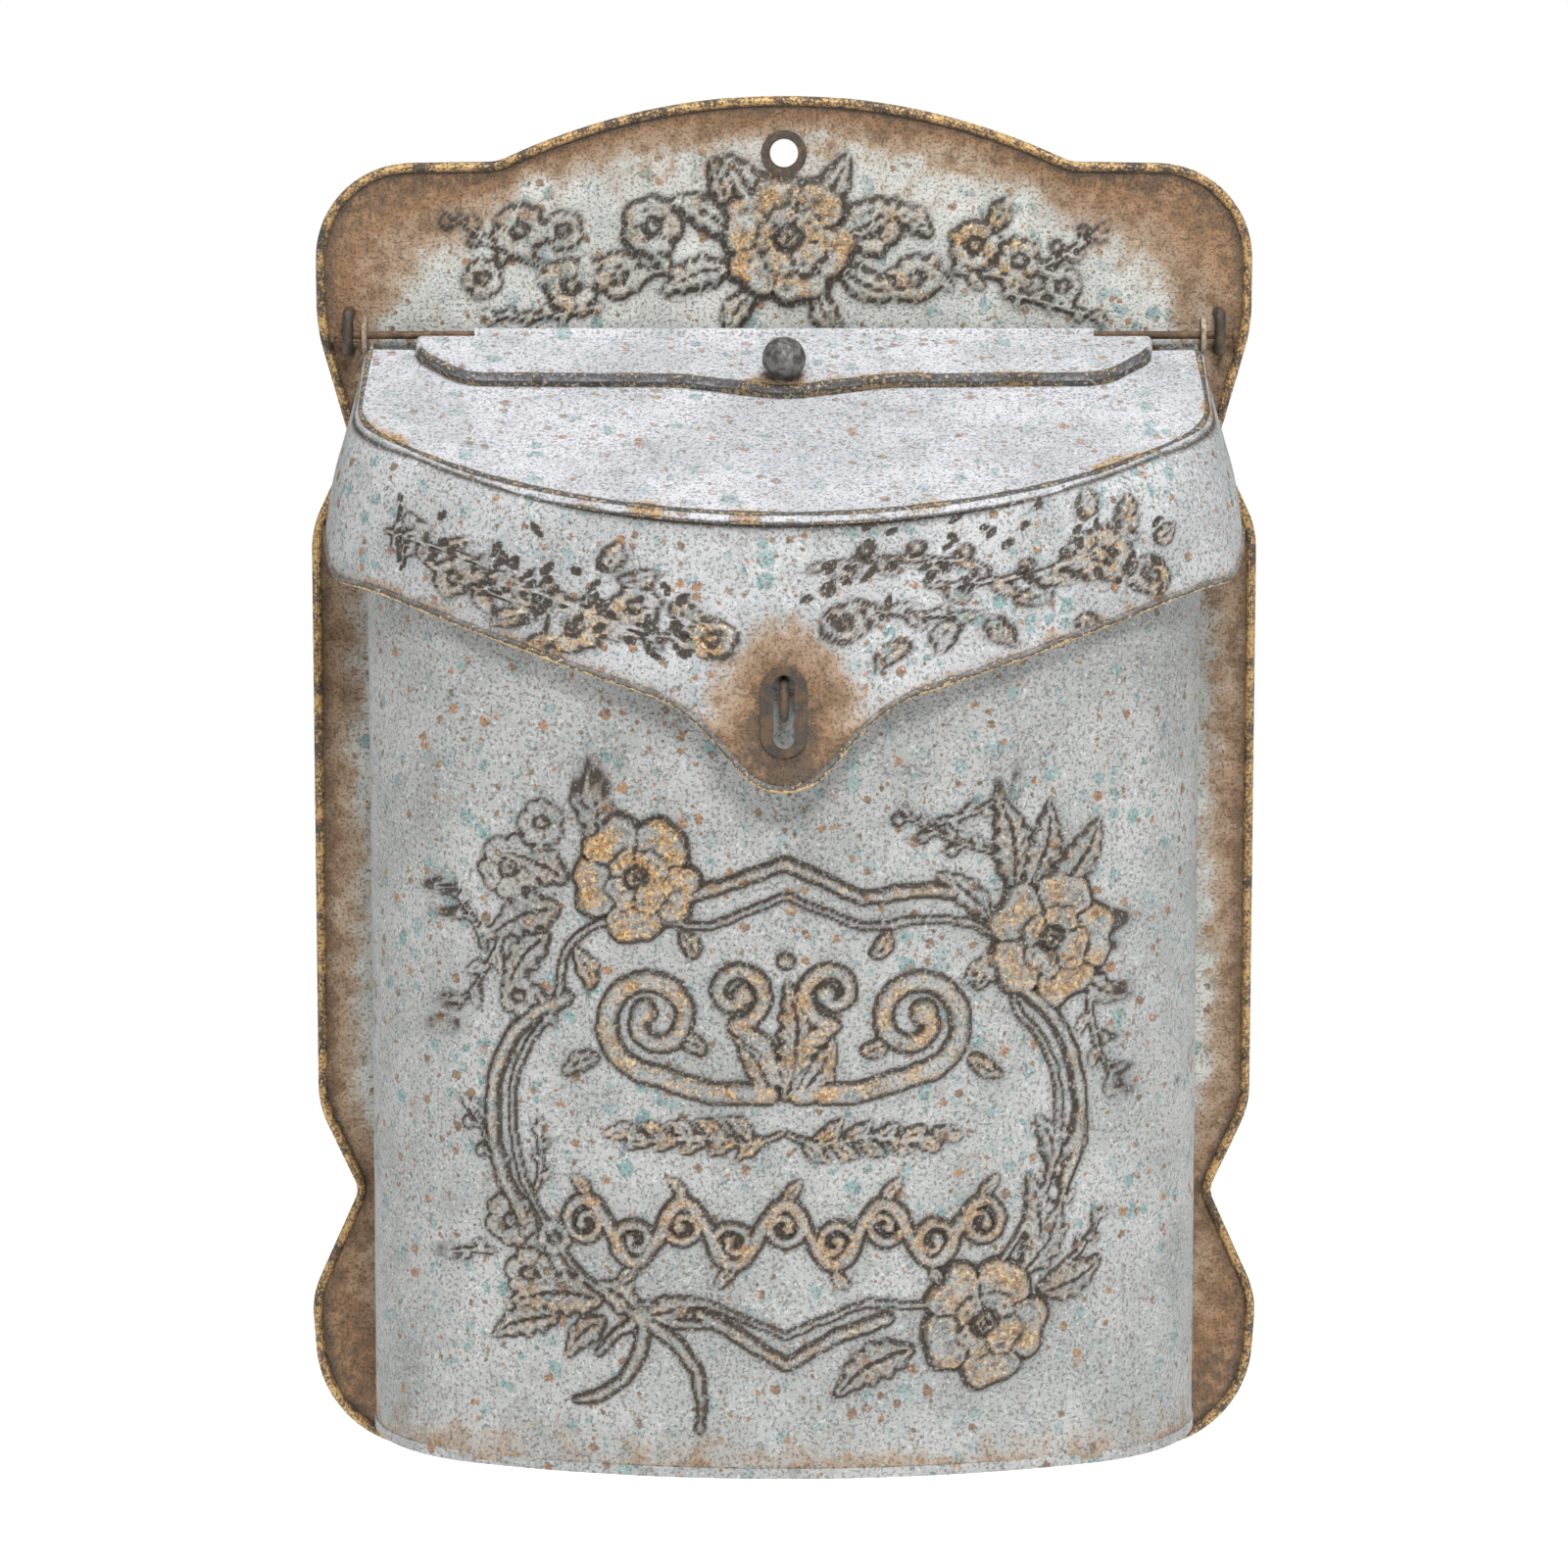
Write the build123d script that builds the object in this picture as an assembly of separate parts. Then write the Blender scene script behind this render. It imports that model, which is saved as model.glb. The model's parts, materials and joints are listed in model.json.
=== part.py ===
from build123d import *
import math
import os

# A vintage tin mailbox that hangs on a wall: a scalloped back plate, a bow-fronted
# letter box with a sloping lid, and a small letter flap on top of the lid.
# +Z is up, -Y points away from the wall, and the origin is the centre of the
# hanging hole at the back face of the plate. Millimetres.

# sheet and wire
SHEET = 0.8             # tinplate thickness, all pressings
BEAD_R = 1.35           # rolled edge of the back plate, outside radius
RIM_WIRE_R = 0.7        # wire that the edge is rolled round
ROD_R = 1.1             # hinge rod
RUN_GAP = 0.07          # radial clearance of the ears and the flap barrel on the rod
FIT_GAP = 0.05          # radial clearance of fixed pieces in their holes

# back plate
PLATE_TOP = 15.5        # top of the arch above the hanging hole
PLATE_BOTTOM = -361.0
PLATE_HALF = 129.5      # half width of the long straight sides
PLATE_EDGE_STEP = 0.5   # the feet stand this much inside the straight sides
SHOULDER_Z = -3.0
SHOULDER_IN = 2.0       # the shoulders stand this much inside the straight sides
SHOULDER_R = 26.0
SHOULDER_DROP = 44.0    # shoulder corner to where the edge turns in to the waist
SHOULDER_FALL_R = 50.0
ARCH_R = 180.0
ARCH_HALF = 78.0        # half width of the arch
ARCH_FOOT_R = 14.0      # hollow between the arch and a shoulder
UPPER_WAIST_Z = -79.0
LOWER_WAIST_Z = -287.0
WAIST_DEPTH = 11.0      # how far the two waists pinch in from the straight sides
WAIST_R = 5.0
UPPER_WAIST_RISE = 23.0  # waist to the corner of the straight side, upper
LOWER_WAIST_RISE = 24.0  # and lower
STRAIGHT_R = 26.0
FOOT_DROP = 30.0        # lower waist to the widest point of the foot
FOOT_OUT = 2.5
FOOT_SIDE_R = 24.0
FOOT_R = 31.0
HOLE_R = 3.8            # hanging hole through the eyelet
EYELET_WALL = 0.8
EYELET_FLANGE_R = 6.2

# letter box
BOX_HALF = 111.0
BOX_DEPTH = 96.0        # wall to the middle of the bowed front
BOX_STRAIGHT = 36.0     # straight part of each side, from the wall
BOX_CORNER_R = 48.0
BOX_BOTTOM = -344.0
SEAM_LIP = 2.7          # height of the folded lips on the bottom pan and the lid top
FLANGE_WIDTH = 12.0     # inward flanges that are riveted to the plate
RIVET_R = 1.6
RIVET_HEAD_R = 3.0
RIVET_HEAD_T = 1.0
RIVETS_PER_SIDE = 4
RIVET_TOP_Z = -80.0
RIVET_BOTTOM_Z = -325.0

# hinge
HINGE_Y = -6.5          # rod axis in front of the wall
HINGE_Z = -49.0
ROD_HEAD_R = 1.9
ROD_HEAD_T = 1.2
STAPLE_WIRE_R = 1.5
STAPLE_UP = 6.0         # upper leg above the rod axis
STAPLE_DOWN = 4.2       # lower leg below the rod axis
STAPLE_GAP = 3.8        # outside of the lid to the middle of a staple
ROD_OVERHANG = 3.7      # middle of a staple to the rod's head

# lid
LID_SLOPE = 22.0        # degrees below the horizontal
LID_DROP = 2.3          # rod axis to the top face of the lid, square to the lid
LID_SIDE_GAP = 3.5      # the lid's outside beyond the box's at the hinge's height
LID_SET_BACK = 2.5      # its front behind the box's there; its flare carries it over the rim
LID_FLARE = 0.15        # outward mm per mm of drop
LID_WALL_GAP = 3.0      # rear edges of the skirt to the wall plane
LID_REAR = 4.0          # rod axis to the rear edge of the lid top, along the slope
BOX_LID_GAP = 7.0       # under side of the lid top to the rim of the box
LID_TOP_IN = 2.0        # the lid's top edge inside its skirt at the sides
LID_TOP_REACH = 1.16    # front of that edge beyond the skirt's depth, along the slope
LID_TOP_STRAIGHT = 38.0  # straight part of its sides
LID_TOP_CORNER_R = 30.0
SHOULDER_FLARE = 1.4    # outward mm per mm below the top edge, until the skirt is met
SHOULDER_DEPTH = 14.0
SKIRT_Z = -110.0        # lower edge of the skirt at the sides
SKIRT_EASE_X = 112.0    # where that edge starts to dip towards the tongue
SKIRT_EASE_Z = -110.5
SKIRT_EASE_R = 60.0
SKIRT_REAR_RISE = 11.0  # the rear corners are cut up this much
SKIRT_REAR_FLAT = 33.0  # level part of that cut
SKIRT_REAR_RUN = 25.0   # sloping part
SKIRT_REAR_R = 20.0
TONGUE_X = 24.0
TONGUE_Z = -138.0
TONGUE_R = 35.0
TONGUE_TIP_Z = -166.0   # sharp corner of the tongue before rounding
TONGUE_TIP_R = 12.0
EAR_R = 5.0
EAR_T = 1.2
EAR_INSET = 0.1         # ears behind the lid's outside
EAR_NOTCH = 0.3         # clearance of the lid top round the ears
SLOT_IN = 6.0           # ends of the letter slot inside the ends of the flap's barrel
SLOT_NEAR = 6.0         # rod axis to the slot's near edge, along the slope
SLOT_WIDTH = 14.0
SLOT_CORNER_R = 2.0

# hasp
HASP_Z = -136.6         # middle of the fixed loop
HASP_WIRE_R = 1.2
HASP_BEND_R = 3.9       # centreline radius of the loop
HASP_REACH = 20.0       # box front to the loop's outermost point
HASP_SLOT_Z = -139.5    # middle of the slot in the lid's tongue
HASP_SLOT_W = 5.4
HASP_SLOT_H = 18.8
RING_W = 12.0
RING_H = 23.4
RING_T = 1.2
BACKING_W = 14.0
BACKING_H = 20.0
BACKING_T = 1.2
BACKING_CORNER_R = 3.0
CLINCH_R = 2.2
CLINCH_T = 0.9

# letter flap
FLAP_IN = 15.5          # ends of the flap inside the lid's sides
BARREL_IN = 15.0        # ends of the barrel inside the ends of the flap
BARREL_WALL = 0.75
FLAP_REAR = 2.6         # rod axis to the flap's rear edge outside the barrel
FLAP_SIDE = 26.5        # rod axis to the front edge at the sides, along the slope
FLAP_NOSE = 35.0        # and in the middle
FLAP_SHOULDER = 12.0    # rod axis to where the flap's ends turn in
FLAP_CUT = 13.0         # how far they turn in
FLAP_EDGE_STEP = 1.0    # the front edge runs this much further down at the nose's foot
FLAP_SHOULDER_R = 12.0
FLAP_CORNER_R = 14.0
NOSE_HALF = 28.0
NOSE_FOOT_R = 28.0
NOSE_R = 22.0
FLAP_LIP = 1.3          # depth of the turned-down edge below the sheet
KNOB_R = 5.8
KNOB_AT = 28.0          # rod axis to the knob, along the slope
KNOB_NECK_R = 3.4
KNOB_NECK_H = 1.2
STUD_R = 1.5
STUD_HEAD_R = 2.8
STUD_HEAD_T = 0.9

# sizes that follow from the ones above
LID_HALF = BOX_HALF + LID_SIDE_GAP
LID_DEPTH = BOX_DEPTH - LID_SET_BACK
STAPLE_X = LID_HALF + STAPLE_GAP
ROD_HALF = STAPLE_X + ROD_OVERHANG
FLAP_HALF = LID_HALF - FLAP_IN
BARREL_HALF = FLAP_HALF - BARREL_IN
SLOT_HALF = BARREL_HALF - SLOT_IN
HASP_TIP_Y = -BOX_DEPTH - HASP_REACH
PLATE_FRONT = -SHEET
FAR = 400.0             # longer than anything, for cutting tools
CUT = 5.0               # how far a short cutting tool runs past the sheet

# the lid's own plane: x across, -y forward and down the slope, z square to it
SLOPE = math.radians(LID_SLOPE)
LID_TOP_DEPTH = LID_DEPTH / math.cos(SLOPE) + LID_TOP_REACH
LID_PLANE = Plane(
    origin=(0, HINGE_Y, HINGE_Z),
    x_dir=(1, 0, 0),
    z_dir=(0, -math.sin(SLOPE), math.cos(SLOPE)),
)
LID_TOP_N = -LID_DROP
LID_UNDER_N = -LID_DROP - SHEET


def rounded(points, radii):
    """Face inside a polygon whose corners are rounded; a radius of 0 stays sharp."""
    face = make_face(Polyline(*points, close=True))
    for point, radius in zip(points, radii):
        if radius:
            corner = face.vertices().sort_by_distance(Vector(*point))[0]
            face = fillet(corner, radius)
    return face


def cylinder(radius, start, end):
    """Solid round bar between two points."""
    a = Vector(*start)
    b = Vector(*end)
    bar = extrude(Plane(origin=a, z_dir=b - a) * Circle(radius), amount=(b - a).length)
    return bar


def d_face(half, depth, rear, z, straight=BOX_STRAIGHT, corner=BOX_CORNER_R):
    """Bow-fronted plan: straight sides, round corners and one flat arc in front."""
    reach = depth - straight
    front = ((half - corner) ** 2 + reach**2 - corner**2) / (2 * (reach - corner))
    lean = math.atan2(half - corner, front - reach)
    join_x = front * math.sin(lean)
    join_y = front - depth - front * math.cos(lean)
    half_turn = (math.pi / 2 - lean) / 2
    mid_x = half - corner + corner * math.cos(half_turn)
    mid_y = -straight - corner * math.sin(half_turn)
    edges = [
        Line((-half, -rear), (half, -rear)),
        Line((half, -rear), (half, -straight)),
        ThreePointArc((half, -straight), (mid_x, mid_y), (join_x, join_y)),
        ThreePointArc((join_x, join_y), (0, -depth), (-join_x, join_y)),
        ThreePointArc((-join_x, join_y), (-mid_x, mid_y), (-half, -straight)),
        Line((-half, -straight), (-half, -rear)),
    ]
    return Pos(0, 0, z) * make_face(edges)


def box_prism(grow, rear, low, high):
    """The box's plan, grown all round, between two heights."""
    return extrude(d_face(BOX_HALF + grow, BOX_DEPTH + grow, rear, low), amount=high - low)


def lid_cone(grow):
    """The lid's flared outside, grown all round."""
    top = HINGE_Z + EAR_R
    bottom = TONGUE_TIP_Z

    def section(z):
        out = grow + LID_FLARE * (HINGE_Z - z)
        return d_face(LID_HALF + out, LID_DEPTH + out, LID_WALL_GAP, z)

    return loft([section(bottom), section(top)], ruled=True)


def lid_shoulder(grow):
    """Bounds the lid below its top edge, whose plan is rounder than the skirt's."""

    def section(drop):
        out = grow + SHOULDER_FLARE * drop
        half = LID_HALF - LID_TOP_IN + out
        depth = LID_TOP_DEPTH + out
        straight = LID_TOP_STRAIGHT
        return d_face(half, depth, -FAR / 2, -drop, straight, LID_TOP_CORNER_R + out)

    upper = loft([section(SHOULDER_DEPTH), section(0)], ruled=True)
    lower = Box(FAR, FAR, FAR, align=(Align.CENTER, Align.CENTER, Align.MAX))
    above = extrude(section(0), amount=FAR / 2)
    bound = upper + Pos(0, 0, -SHOULDER_DEPTH) * lower + above
    return LID_PLANE * Pos(0, 0, LID_TOP_N) * bound


def lid_body(grow):
    return lid_cone(grow) & lid_shoulder(grow)


def lid_slab(low, high):
    """Everything between two levels square to the lid's plane."""
    slab = Box(FAR, FAR, high - low, align=(Align.CENTER, Align.CENTER, Align.MIN))
    return LID_PLANE * Pos(0, 0, low) * slab


def plate_outline():
    """The scalloped plate: an arch, two shoulders, two waists and round feet."""
    waist = PLATE_HALF - WAIST_DEPTH
    arch_z = PLATE_TOP - ARCH_R + math.sqrt(ARCH_R**2 - ARCH_HALF**2)
    shoulder = PLATE_HALF - SHOULDER_IN
    side = [
        ((ARCH_HALF, arch_z), ARCH_FOOT_R),
        ((shoulder, SHOULDER_Z), SHOULDER_R),
        ((shoulder, SHOULDER_Z - SHOULDER_DROP), SHOULDER_FALL_R),
        ((waist, UPPER_WAIST_Z), WAIST_R),
        ((PLATE_HALF, UPPER_WAIST_Z - UPPER_WAIST_RISE), STRAIGHT_R),
        ((PLATE_HALF, LOWER_WAIST_Z + LOWER_WAIST_RISE), STRAIGHT_R),
        ((waist, LOWER_WAIST_Z), WAIST_R),
        ((PLATE_HALF + FOOT_OUT, LOWER_WAIST_Z - FOOT_DROP), FOOT_SIDE_R),
        ((PLATE_HALF - PLATE_EDGE_STEP, PLATE_BOTTOM), FOOT_R),
    ]
    right = [point for point, _ in side]
    left = [(-x, z) for x, z in reversed(right)]
    edges = [Polyline(*right, *left)]
    edges.append(ThreePointArc(left[-1], (0, PLATE_TOP), right[0]))
    face = make_face(edges)
    for (x, z), radius in side:
        for sign in (1, -1):
            corner = face.vertices().sort_by_distance(Vector(sign * x, z))[0]
            face = fillet(corner, radius)
    return face


def upright(face):
    """Stand a drawing of x and height up, its face looking away from the wall."""
    return Plane.XZ * face


def rivet_places():
    step = (RIVET_BOTTOM_Z - RIVET_TOP_Z) / (RIVETS_PER_SIDE - 1)
    x = BOX_HALF - SHEET - FLANGE_WIDTH / 2
    return [(sign * x, RIVET_TOP_Z + step * i) for sign in (1, -1) for i in range(RIVETS_PER_SIDE)]


def staple_legs():
    return [HINGE_Z + STAPLE_UP, HINGE_Z - STAPLE_DOWN]


def edge_sweep(radius):
    """Round section carried round the plate's edge, flush with its back face."""
    middle = Pos(0, -BEAD_R, 0) * upright(offset(plate_outline(), -BEAD_R))
    path = middle.face().outer_wire()
    section = Plane(origin=path @ 0, z_dir=path % 0) * Circle(radius)
    return sweep(section, path=path)


def make_back_plate():
    inner = upright(offset(plate_outline(), -BEAD_R))
    plate = extrude(inner, amount=SHEET) + edge_sweep(BEAD_R)
    plate -= edge_sweep(RIM_WIRE_R)
    plate -= cylinder(HOLE_R + EYELET_WALL, (0, 1, 0), (0, -CUT, 0))
    for x, z in rivet_places():
        plate -= cylinder(RIVET_R, (x, 1, z), (x, -CUT, z))
    for z in staple_legs():
        for sign in (1, -1):
            plate -= cylinder(STAPLE_WIRE_R, (sign * STAPLE_X, 1, z), (sign * STAPLE_X, -CUT, z))
    return plate


def make_rim_wire():
    return edge_sweep(RIM_WIRE_R - FIT_GAP)


def make_hanging_eyelet():
    barrel_r = HOLE_R + EYELET_WALL
    eyelet = cylinder(barrel_r, (0, 0, 0), (0, PLATE_FRONT, 0))
    front = PLATE_FRONT - SHEET
    eyelet += cylinder(EYELET_FLANGE_R, (0, PLATE_FRONT, 0), (0, front, 0))
    eyelet -= cylinder(HOLE_R, (0, 1, 0), (0, front - 1, 0))
    return eyelet


def hasp_leg_places():
    return [HASP_Z + HASP_BEND_R, HASP_Z - HASP_BEND_R]


def make_body_shell():
    low = BOX_BOTTOM + SHEET
    rear = -PLATE_FRONT
    shell = box_prism(0, rear, low, HINGE_Z) - box_prism(-SHEET, rear - 1, low - 1, HINGE_Z + 1)
    for sign in (1, -1):
        height = HINGE_Z - low
        flange = Box(FLANGE_WIDTH, SHEET, height, align=(Align.CENTER, Align.MAX, Align.MIN))
        x = sign * (BOX_HALF - SHEET - FLANGE_WIDTH / 2)
        shell += Pos(x, PLATE_FRONT, low) * flange
    shell -= lid_slab(LID_UNDER_N - BOX_LID_GAP, FAR)
    for x, z in rivet_places():
        shell -= cylinder(RIVET_R, (x, 0, z), (x, -CUT, z))
    for z in hasp_leg_places():
        shell -= cylinder(HASP_WIRE_R + FIT_GAP, (0, -BOX_DEPTH / 2, z), (0, -BOX_DEPTH - CUT, z))
    return shell


def make_bottom_pan():
    rear = -PLATE_FRONT
    pan = box_prism(SHEET, rear, BOX_BOTTOM, BOX_BOTTOM + SEAM_LIP)
    pan -= box_prism(0, rear - 1, BOX_BOTTOM + SHEET, BOX_BOTTOM + SEAM_LIP + 1)
    return pan


def make_body_rivets():
    rivets = []
    seat = PLATE_FRONT - SHEET
    for x, z in rivet_places():
        shank = cylinder(RIVET_R, (x, 0, z), (x, seat, z))
        rivets.append(shank + cylinder(RIVET_HEAD_R, (x, seat, z), (x, seat - RIVET_HEAD_T, z)))
    return Compound(rivets)


def make_hinge_rod():
    rod = cylinder(ROD_R, (-ROD_HALF, HINGE_Y, HINGE_Z), (ROD_HALF, HINGE_Y, HINGE_Z))
    for sign in (1, -1):
        outer = sign * (ROD_HALF + ROD_HEAD_T)
        rod += cylinder(ROD_HEAD_R, (sign * ROD_HALF, HINGE_Y, HINGE_Z), (outer, HINGE_Y, HINGE_Z))
    return rod


def make_hinge_staple(sign):
    """Wire loop driven through the plate, its bridge in front of the rod."""
    upper, lower = staple_legs()
    front = HINGE_Y - ROD_R - STAPLE_WIRE_R - FIT_GAP
    x = sign * STAPLE_X
    path = FilletPolyline(
        (x, 0, upper),
        (x, front, upper),
        (x, front, lower),
        (x, 0, lower),
        radius=STAPLE_WIRE_R + 1,
    )
    section = Plane(origin=path @ 0, z_dir=path % 0) * Circle(STAPLE_WIRE_R)
    return sweep(section, path=path)


def make_hasp_staple():
    """Wire loop for a padlock, clinched behind a backing plate inside the box."""
    upper, lower = hasp_leg_places()
    bend_y = HASP_TIP_Y + HASP_WIRE_R + HASP_BEND_R
    back = -BOX_DEPTH + SHEET + BACKING_T
    path = Line((0, back, upper), (0, bend_y, upper))
    path += ThreePointArc((0, bend_y, upper), (0, bend_y - HASP_BEND_R, HASP_Z), (0, bend_y, lower))
    path += Line((0, bend_y, lower), (0, back, lower))
    section = Plane(origin=(0, back, upper), z_dir=(0, -1, 0)) * Circle(HASP_WIRE_R)
    staple = sweep(section, path=path)
    for z in (upper, lower):
        staple += cylinder(CLINCH_R, (0, back, z), (0, back + CLINCH_T, z))
    return staple


def make_hasp_backing():
    plate = Box(BACKING_W, BACKING_T, BACKING_H, align=(Align.CENTER, Align.MIN, Align.CENTER))
    plate = fillet(plate.edges().filter_by(Axis.Y), BACKING_CORNER_R)
    plate = Pos(0, -BOX_DEPTH + SHEET, HASP_Z) * plate
    for z in hasp_leg_places():
        plate -= cylinder(HASP_WIRE_R + FIT_GAP, (0, -BOX_DEPTH - CUT, z), (0, -BOX_DEPTH + CUT, z))
    inside = box_prism(-SHEET, 0, BOX_BOTTOM, HINGE_Z)
    return plate & inside


def ear_disc(radius, grow):
    """Both hinge ears, as discs round the rod axis."""
    outer = LID_HALF - EAR_INSET
    ears = []
    for sign in (1, -1):
        start = (sign * (outer - EAR_T - grow), HINGE_Y, HINGE_Z)
        end = (sign * (outer + grow), HINGE_Y, HINGE_Z)
        ears.append(cylinder(radius, start, end))
    return ears


def skirt_edge():
    """The skirt's lower edge as a drawing of what is kept: tongue in the middle."""
    side = LID_HALF * 2
    points = [
        (-side, 0),
        (-side, SKIRT_Z),
        (-SKIRT_EASE_X, SKIRT_EASE_Z),
        (-TONGUE_X, TONGUE_Z),
        (0, TONGUE_TIP_Z),
        (TONGUE_X, TONGUE_Z),
        (SKIRT_EASE_X, SKIRT_EASE_Z),
        (side, SKIRT_Z),
        (side, 0),
    ]
    half_radii = [0, 0, SKIRT_EASE_R, TONGUE_R]
    return rounded(points, [*half_radii, TONGUE_TIP_R, *reversed(half_radii)])


def skirt_side():
    """What is kept of the skirt seen from the side: its rear corners are cut up."""
    level = LID_WALL_GAP + SKIRT_REAR_FLAT
    reach = level + SKIRT_REAR_RUN
    points = [
        (0, 0),
        (0, SKIRT_Z + SKIRT_REAR_RISE),
        (-level, SKIRT_Z + SKIRT_REAR_RISE),
        (-reach, SKIRT_Z),
        (-reach, TONGUE_TIP_Z - CUT),
        (-FAR, TONGUE_TIP_Z - CUT),
        (-FAR, 0),
    ]
    return rounded(points, [0, 0, SKIRT_REAR_R, 0, 0, 0, 0])


def tongue_plane():
    """On the skirt's front face at the hasp slot, looking out along its normal."""
    y = -(LID_DEPTH + LID_FLARE * (HINGE_Z - HASP_SLOT_Z))
    return Plane(origin=(0, y, HASP_SLOT_Z), x_dir=(1, 0, 0), z_dir=(0, -1, LID_FLARE))


def upright_slot(width, height):
    return SlotOverall(height, width, rotation=90)


def make_lid_skirt():
    skirt = lid_body(0) - lid_body(-SHEET)
    skirt &= extrude(upright(skirt_edge()), amount=FAR)
    skirt &= extrude(Plane.YZ * skirt_side(), amount=FAR / 2, both=True)
    skirt &= lid_slab(-FAR / 2, LID_UNDER_N)
    for ear in ear_disc(EAR_R, 0):
        skirt += ear
    hole = ROD_R + RUN_GAP
    skirt -= cylinder(hole, (-FAR / 2, HINGE_Y, HINGE_Z), (FAR / 2, HINGE_Y, HINGE_Z))
    skirt -= extrude(tongue_plane() * upright_slot(HASP_SLOT_W, HASP_SLOT_H), amount=CUT, both=True)
    return skirt


def make_lid_top():
    top = lid_body(SHEET) & lid_slab(LID_UNDER_N - SEAM_LIP, LID_TOP_N)
    top -= lid_body(0) & lid_slab(-FAR / 2, LID_UNDER_N)
    behind = Box(FAR, FAR, FAR, align=(Align.CENTER, Align.MIN, Align.CENTER))
    top -= LID_PLANE * Pos(0, -LID_REAR, 0) * behind
    for ear in ear_disc(EAR_R + EAR_NOTCH, 2 * SHEET):
        top -= ear
    slot = Box(2 * SLOT_HALF, SLOT_WIDTH, 2 * CUT, align=(Align.CENTER, Align.MAX, Align.CENTER))
    slot = fillet(slot.edges().filter_by(Axis.Z), SLOT_CORNER_R)
    top -= LID_PLANE * Pos(0, -SLOT_NEAR, LID_TOP_N) * slot
    return top


def make_hasp_ring():
    ring = extrude(tongue_plane() * upright_slot(RING_W, RING_H), amount=RING_T)
    ring -= extrude(tongue_plane() * upright_slot(HASP_SLOT_W, HASP_SLOT_H), amount=CUT, both=True)
    return ring


def flap_outline(inset):
    side = [
        (FLAP_HALF, -FLAP_REAR),
        (FLAP_HALF, -FLAP_SHOULDER),
        (FLAP_HALF - FLAP_CUT, -FLAP_SIDE),
        (NOSE_HALF, -FLAP_SIDE - FLAP_EDGE_STEP),
    ]
    points = side + [(0, -FLAP_NOSE)] + [(-x, y) for x, y in reversed(side)]
    half_radii = [0, FLAP_SHOULDER_R, FLAP_CORNER_R, NOSE_FOOT_R]
    face = rounded(points, [*half_radii, NOSE_R, *reversed(half_radii)])
    return offset(face, -inset) if inset else face


def make_letter_flap():
    under = -SHEET / 2
    sheet = Pos(0, 0, under) * extrude(flap_outline(0), amount=SHEET)
    edge = extrude(flap_outline(0), amount=-FLAP_LIP)
    edge -= extrude(flap_outline(SHEET), amount=-FLAP_LIP)
    edge -= Box(2 * (FLAP_HALF - SHEET), 4 * SHEET, FAR).move(Pos(0, -FLAP_REAR, 0))
    sheet += Pos(0, 0, under) * edge
    web_depth = FLAP_REAR - ROD_R
    web = Box(2 * BARREL_HALF, web_depth, SHEET, align=(Align.CENTER, Align.MIN, Align.CENTER))
    sheet += Pos(0, -FLAP_REAR, 0) * web
    hole = ROD_R + RUN_GAP
    sheet += cylinder(hole + BARREL_WALL, (-BARREL_HALF, 0, 0), (BARREL_HALF, 0, 0))
    sheet -= cylinder(hole, (-FLAP_HALF - 1, 0, 0), (FLAP_HALF + 1, 0, 0))
    sheet -= cylinder(STUD_R, (0, -KNOB_AT, -CUT), (0, -KNOB_AT, CUT))
    return LID_PLANE * sheet


def make_flap_knob():
    seat = SHEET / 2
    centre = seat + KNOB_NECK_H + math.sqrt(KNOB_R**2 - KNOB_NECK_R**2)
    knob = Pos(0, -KNOB_AT, centre) * Sphere(KNOB_R)
    knob += cylinder(KNOB_NECK_R, (0, -KNOB_AT, seat), (0, -KNOB_AT, centre))
    knob -= cylinder(STUD_R, (0, -KNOB_AT, -1), (0, -KNOB_AT, centre))
    return LID_PLANE * knob


def make_knob_stud():
    seat = SHEET / 2
    stud = cylinder(STUD_R, (0, -KNOB_AT, -seat), (0, -KNOB_AT, seat + KNOB_R))
    stud += cylinder(STUD_HEAD_R, (0, -KNOB_AT, -seat - STUD_HEAD_T), (0, -KNOB_AT, -seat))
    return LID_PLANE * stud


def build():
    return {
        "back_plate": make_back_plate(),
        "rim_wire": make_rim_wire(),
        "hanging_eyelet": make_hanging_eyelet(),
        "body_shell": make_body_shell(),
        "bottom_pan": make_bottom_pan(),
        "body_rivets": make_body_rivets(),
        "hinge_rod": make_hinge_rod(),
        "hinge_staple_left": make_hinge_staple(-1),
        "hinge_staple_right": make_hinge_staple(1),
        "hasp_staple": make_hasp_staple(),
        "hasp_backing": make_hasp_backing(),
        "lid_skirt": make_lid_skirt(),
        "lid_top": make_lid_top(),
        "hasp_ring": make_hasp_ring(),
        "letter_flap": make_letter_flap(),
        "flap_knob": make_flap_knob(),
        "knob_stud": make_knob_stud(),
    }


os.makedirs("parts", exist_ok=True)
for name, shape in build().items():
    export_step(shape, f"parts/{name}.step")
    print(name, f"{shape.volume:.0f} mm3")
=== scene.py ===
import json
import math

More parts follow.
